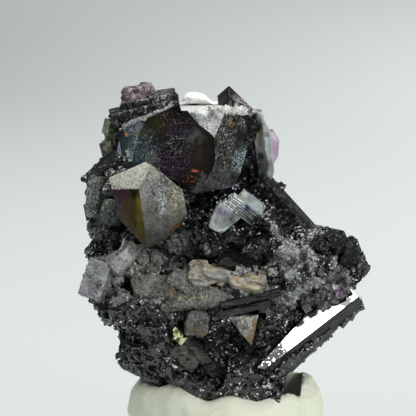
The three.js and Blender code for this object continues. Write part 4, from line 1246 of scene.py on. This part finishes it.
def growth_steps(count, low, high, seed):
    """Thin plates, stacked from low to high, each a little longer or shorter than the last."""
    draw = random.Random(seed)
    pitch = (high - low) / count
    steps = []
    for index in range(count):
        length = 7.2 + draw.uniform(-0.7, 0.5)
        shift = 1.6 + 0.14 * index + draw.uniform(-0.25, 0.25)
        size = (length, 6 + draw.uniform(-1.2, 0.6), pitch * draw.uniform(0.5, 0.8))
        steps.append(clear_block(shift, 0, low + pitch * (index + 0.5), size))
    return steps


glass = crisp_piece("clear_crystal", [
    clear_block(0, 0, 0, (4.6, 6, 5.8), [
        ((0, 0, 1), 1.8), ((0.97, 0, -0.23), 1.72), ((-0.965, 0, -0.262), 2.1),
        ((0.26, 0, -0.965), 2.58), ((-0.6, -0.8, -0.2), 3.0),
    ]),
    clear_block(2.3, 0.2, 5.1, (5, 5.4, 1.6), [((-0.8, -0.2, 0.6), 2.2), ((0.7, -0.3, 0.6), 2.3)]),
], CLEAR_GLASS, 0.08)
own(glass, "fluorite_clear", "clear_fluorite")
steps = crisp_piece("clear_steps", growth_steps(6, 1.8, 4.4, 31), CLEAR_STEPS, 0.04)
own(steps, "fluorite_clear")

# %% Dress the rear crystals, the side crystals and the wedge
REAR_CUBE_Y = 7
rear = faced("rear_fluorite", "rear_crystals", (), REAR_PLATE, REAR_PLATE, 0.12)
rear.data.materials.append(REAR_LILAC)
for face in rear.data.polygons:
    face.material_index = int(face.center.y > REAR_CUBE_Y * MM) * (len(rear.data.materials) - 1)
own(rear, "fluorite_rear", "rear_fluorite")
side = faced("side_fluorite", "side_crystals", (), RIM_OLIVE, RIM_OLIVE, 0.3)
own(side, "fluorite_olive", "side_fluorite")
wedge = crisp_piece("wedge_crystal", [WEDGE_BLOCK], WEDGE, 0.12)
own(wedge, "fluorite_crust", "wedge_fluorite")

# %% [markdown]
# ## Crusts and pyrite
#
# The crusts are masses of small cubes. The copy of the CAD solid is remeshed and broken up
# by the same tree as the stone. Cubes and sugar grow on it, except where the cleavage plates
# show. The pyrite is the CAD grain with worn edges.

# %% Grow the crusts
CRUST_VOXEL = 0.3


def crusted(node, material, seed, plates=()):
    """The broken mass, its cubes and its sugar, kept low where plates show."""
    name = node + "_mass"
    mass = voxel_remesh(copy_of(node, name, False), CRUST_VOXEL * MM)
    count = len(mass.data.vertices)
    cover = np.ones(count)
    if plates:
        cover = np.clip((distance_to(points_of(mass.data), plates) - 0.4) / 0.6, 0, 1)
    store(mass.data, "wild", np.ones(count))
    store(mass.data, "sink", 0.5 + 0.7 * (1 - cover))
    grow_with(mass, CRUSH, material=material, patch=4.0, blade=1.5, stretch=1.2, depth=0.7,
              grain=0.7, grit=0.3)
    mass.data.set_sharp_from_angle(angle=math.radians(35))
    cubes = scattered(name + "_cubes", mass, cover, CUBE_SHAPES, material, seed=seed, lean=0.8,
                      per_square_mm=0.6, smallest=0.5, largest=1.7)
    sugar = scattered(name + "_sugar", mass, cover, CUBE_SHAPES, material, seed=seed + 10, lean=0.9,
                      per_square_mm=4.0, smallest=0.15, largest=0.5)
    own(mass, "fluorite_crust", node)
    own(cubes, "fluorite_crust")
    own(sugar, "fluorite_crust")


crusted("left_crust", LEFT_SUGAR, 21, [left_plates])
crusted("right_crust", RIGHT_SUGAR, 22)
pyrite = faced("pyrite_grain", "pyrite_crystal", (), PYRITE, PYRITE, 0.15)
own(pyrite, "pyrite", "pyrite_grain")

# %% [markdown]
# ## Soft pieces
#
# The putty was pressed by hand, the calcite and two of the crystals are rounded by wear, and
# the mica is bent. All five are remeshed and smoothed. A small tree then moves the surface
# along its normals, by broad dents and, for the putty, by the faint ripples that pressing
# leaves. The rim of the putty is pushed up in front, and the calcite is lowered to a hump.
# The stone's tree then breaks the mica into flakes, and four flat sheets lie on it.

# %% Build the tree that presses dents
def press_tree():
    tree, given, result = group("press", dent=0.7, size=6.0, ripple=0.0, swell=0.0)
    place = vectors(tree, "MULTIPLY", add(tree, "GeometryNodeInputPosition").outputs[0], (1 / MM,) * 3)
    dents = noise(tree, place, maths(tree, "DIVIDE", 1.0, given.outputs["size"]), 2.0)
    deep = maths(tree, "MULTIPLY", span(tree, dents, 0.25, 0.75, -0.5, 0.5), given.outputs["dent"])
    stray = add(tree, "ShaderNodeTexNoise", {"Vector": place, "Scale": 0.1}).outputs["Color"]
    bent = vectors(tree, "ADD", place, vectors(tree, "MULTIPLY", stray, (9, 9, 9)))
    wave = maths(tree, "SINE", vectors(tree, "DOT_PRODUCT", bent, (3.0, 3.0, 8.0)))
    swollen = maths(tree, "ADD", deep, given.outputs["swell"])
    move = maths(tree, "MULTIPLY_ADD", wave, given.outputs["ripple"], swollen)
    above_floor = span(tree, axes_of(tree, place)[2], 0.2, 1.5)
    amount = maths(tree, "MULTIPLY", maths(tree, "MULTIPLY", move, above_floor), MM)
    normal = add(tree, "GeometryNodeInputNormal").outputs[0]
    offset = vectors(tree, "MULTIPLY", normal, evenly(tree, amount))
    moved = add(tree, "GeometryNodeSetPosition", {"Geometry": given.outputs["Geometry"], "Offset": offset})
    return close_group(tree, given, result, moved.outputs[0])


PRESS = press_tree()
print("press inputs:", [s.name for s in PRESS.interface.items_tree if s.in_out == "INPUT"])

# %% Shape the putty, the calcite, the crown and the round crystal
RIM_LOW, RIM_FRONT, RIM_FADE = 4, -6, 3
CALCITE_MIDDLE, CALCITE_FOOT = -5.4, 59.5


def soft_piece(node, name, material, voxel, rounds, **dents):
    piece = softened(node, name, material, voxel, rounds)
    return grow_with(piece, PRESS, material=material, **dents)


putty = soft_piece("putty_base", "putty_lump", PUTTY, 0.5, 8, dent=0.7, size=6.2, ripple=0.06)
points = points_of(putty.data)
x, y, z = (points / MM).T
rim = np.clip((z - RIM_LOW) / RIM_FADE, 0, 1)
in_front = np.clip((RIM_FRONT - y) / RIM_FADE, 0, 1)
points[:, 2] += MM * rim * in_front * (0.8 + 0.5 * np.sin(x * 0.7 + 1))
putty.data.vertices.foreach_set("co", points.ravel())
own(putty, "putty", "putty_base")
calcite = soft_piece("top_calcite", "calcite_mass", CALCITE, 0.2, 30, dent=0.7, size=2.6, swell=0.1)
points = points_of(calcite.data)
x, _, z = (points / MM).T
kept_height = np.clip(0.86 - 0.07 * (x - CALCITE_MIDDLE) ** 2, 0.2, 1)
points[:, 2] -= MM * (1 - kept_height) * np.clip(z - CALCITE_FOOT, 0, None)
calcite.data.vertices.foreach_set("co", points.ravel())
own(calcite, "calcite", "top_calcite")
crown = soft_piece("crown_fluorite", "crown_crystal", CROWN_PURPLE, 0.2, 10, dent=0.9, size=1.6)
own(crown, "fluorite_lilac", "crown_fluorite")
round_one = soft_piece("round_fluorite", "round_crystal", ROUND, 0.2, 6, dent=0.9, size=1.7)
own(round_one, "fluorite_crust", "round_fluorite")

# %% Flake the mica
mica = soft_piece("mica_flakes", "mica_mass", MICA, 0.2, 4, dent=1.2, size=2.6)
count = len(mica.data.vertices)
store(mica.data, "wild", np.ones(count))
store(mica.data, "sink", np.zeros(count))
grow_with(mica, CRUSH, material=MICA, patch=6.0, blade=1.8, stretch=3.0, depth=0.4, grain=0.7, grit=0.1)
mica.data.set_sharp_from_angle(angle=math.radians(35))
own(mica, "mica", "mica_flakes")
own(crisp_piece("mica_sheets", MICA_SHEETS, MICA, 0.12), "mica")
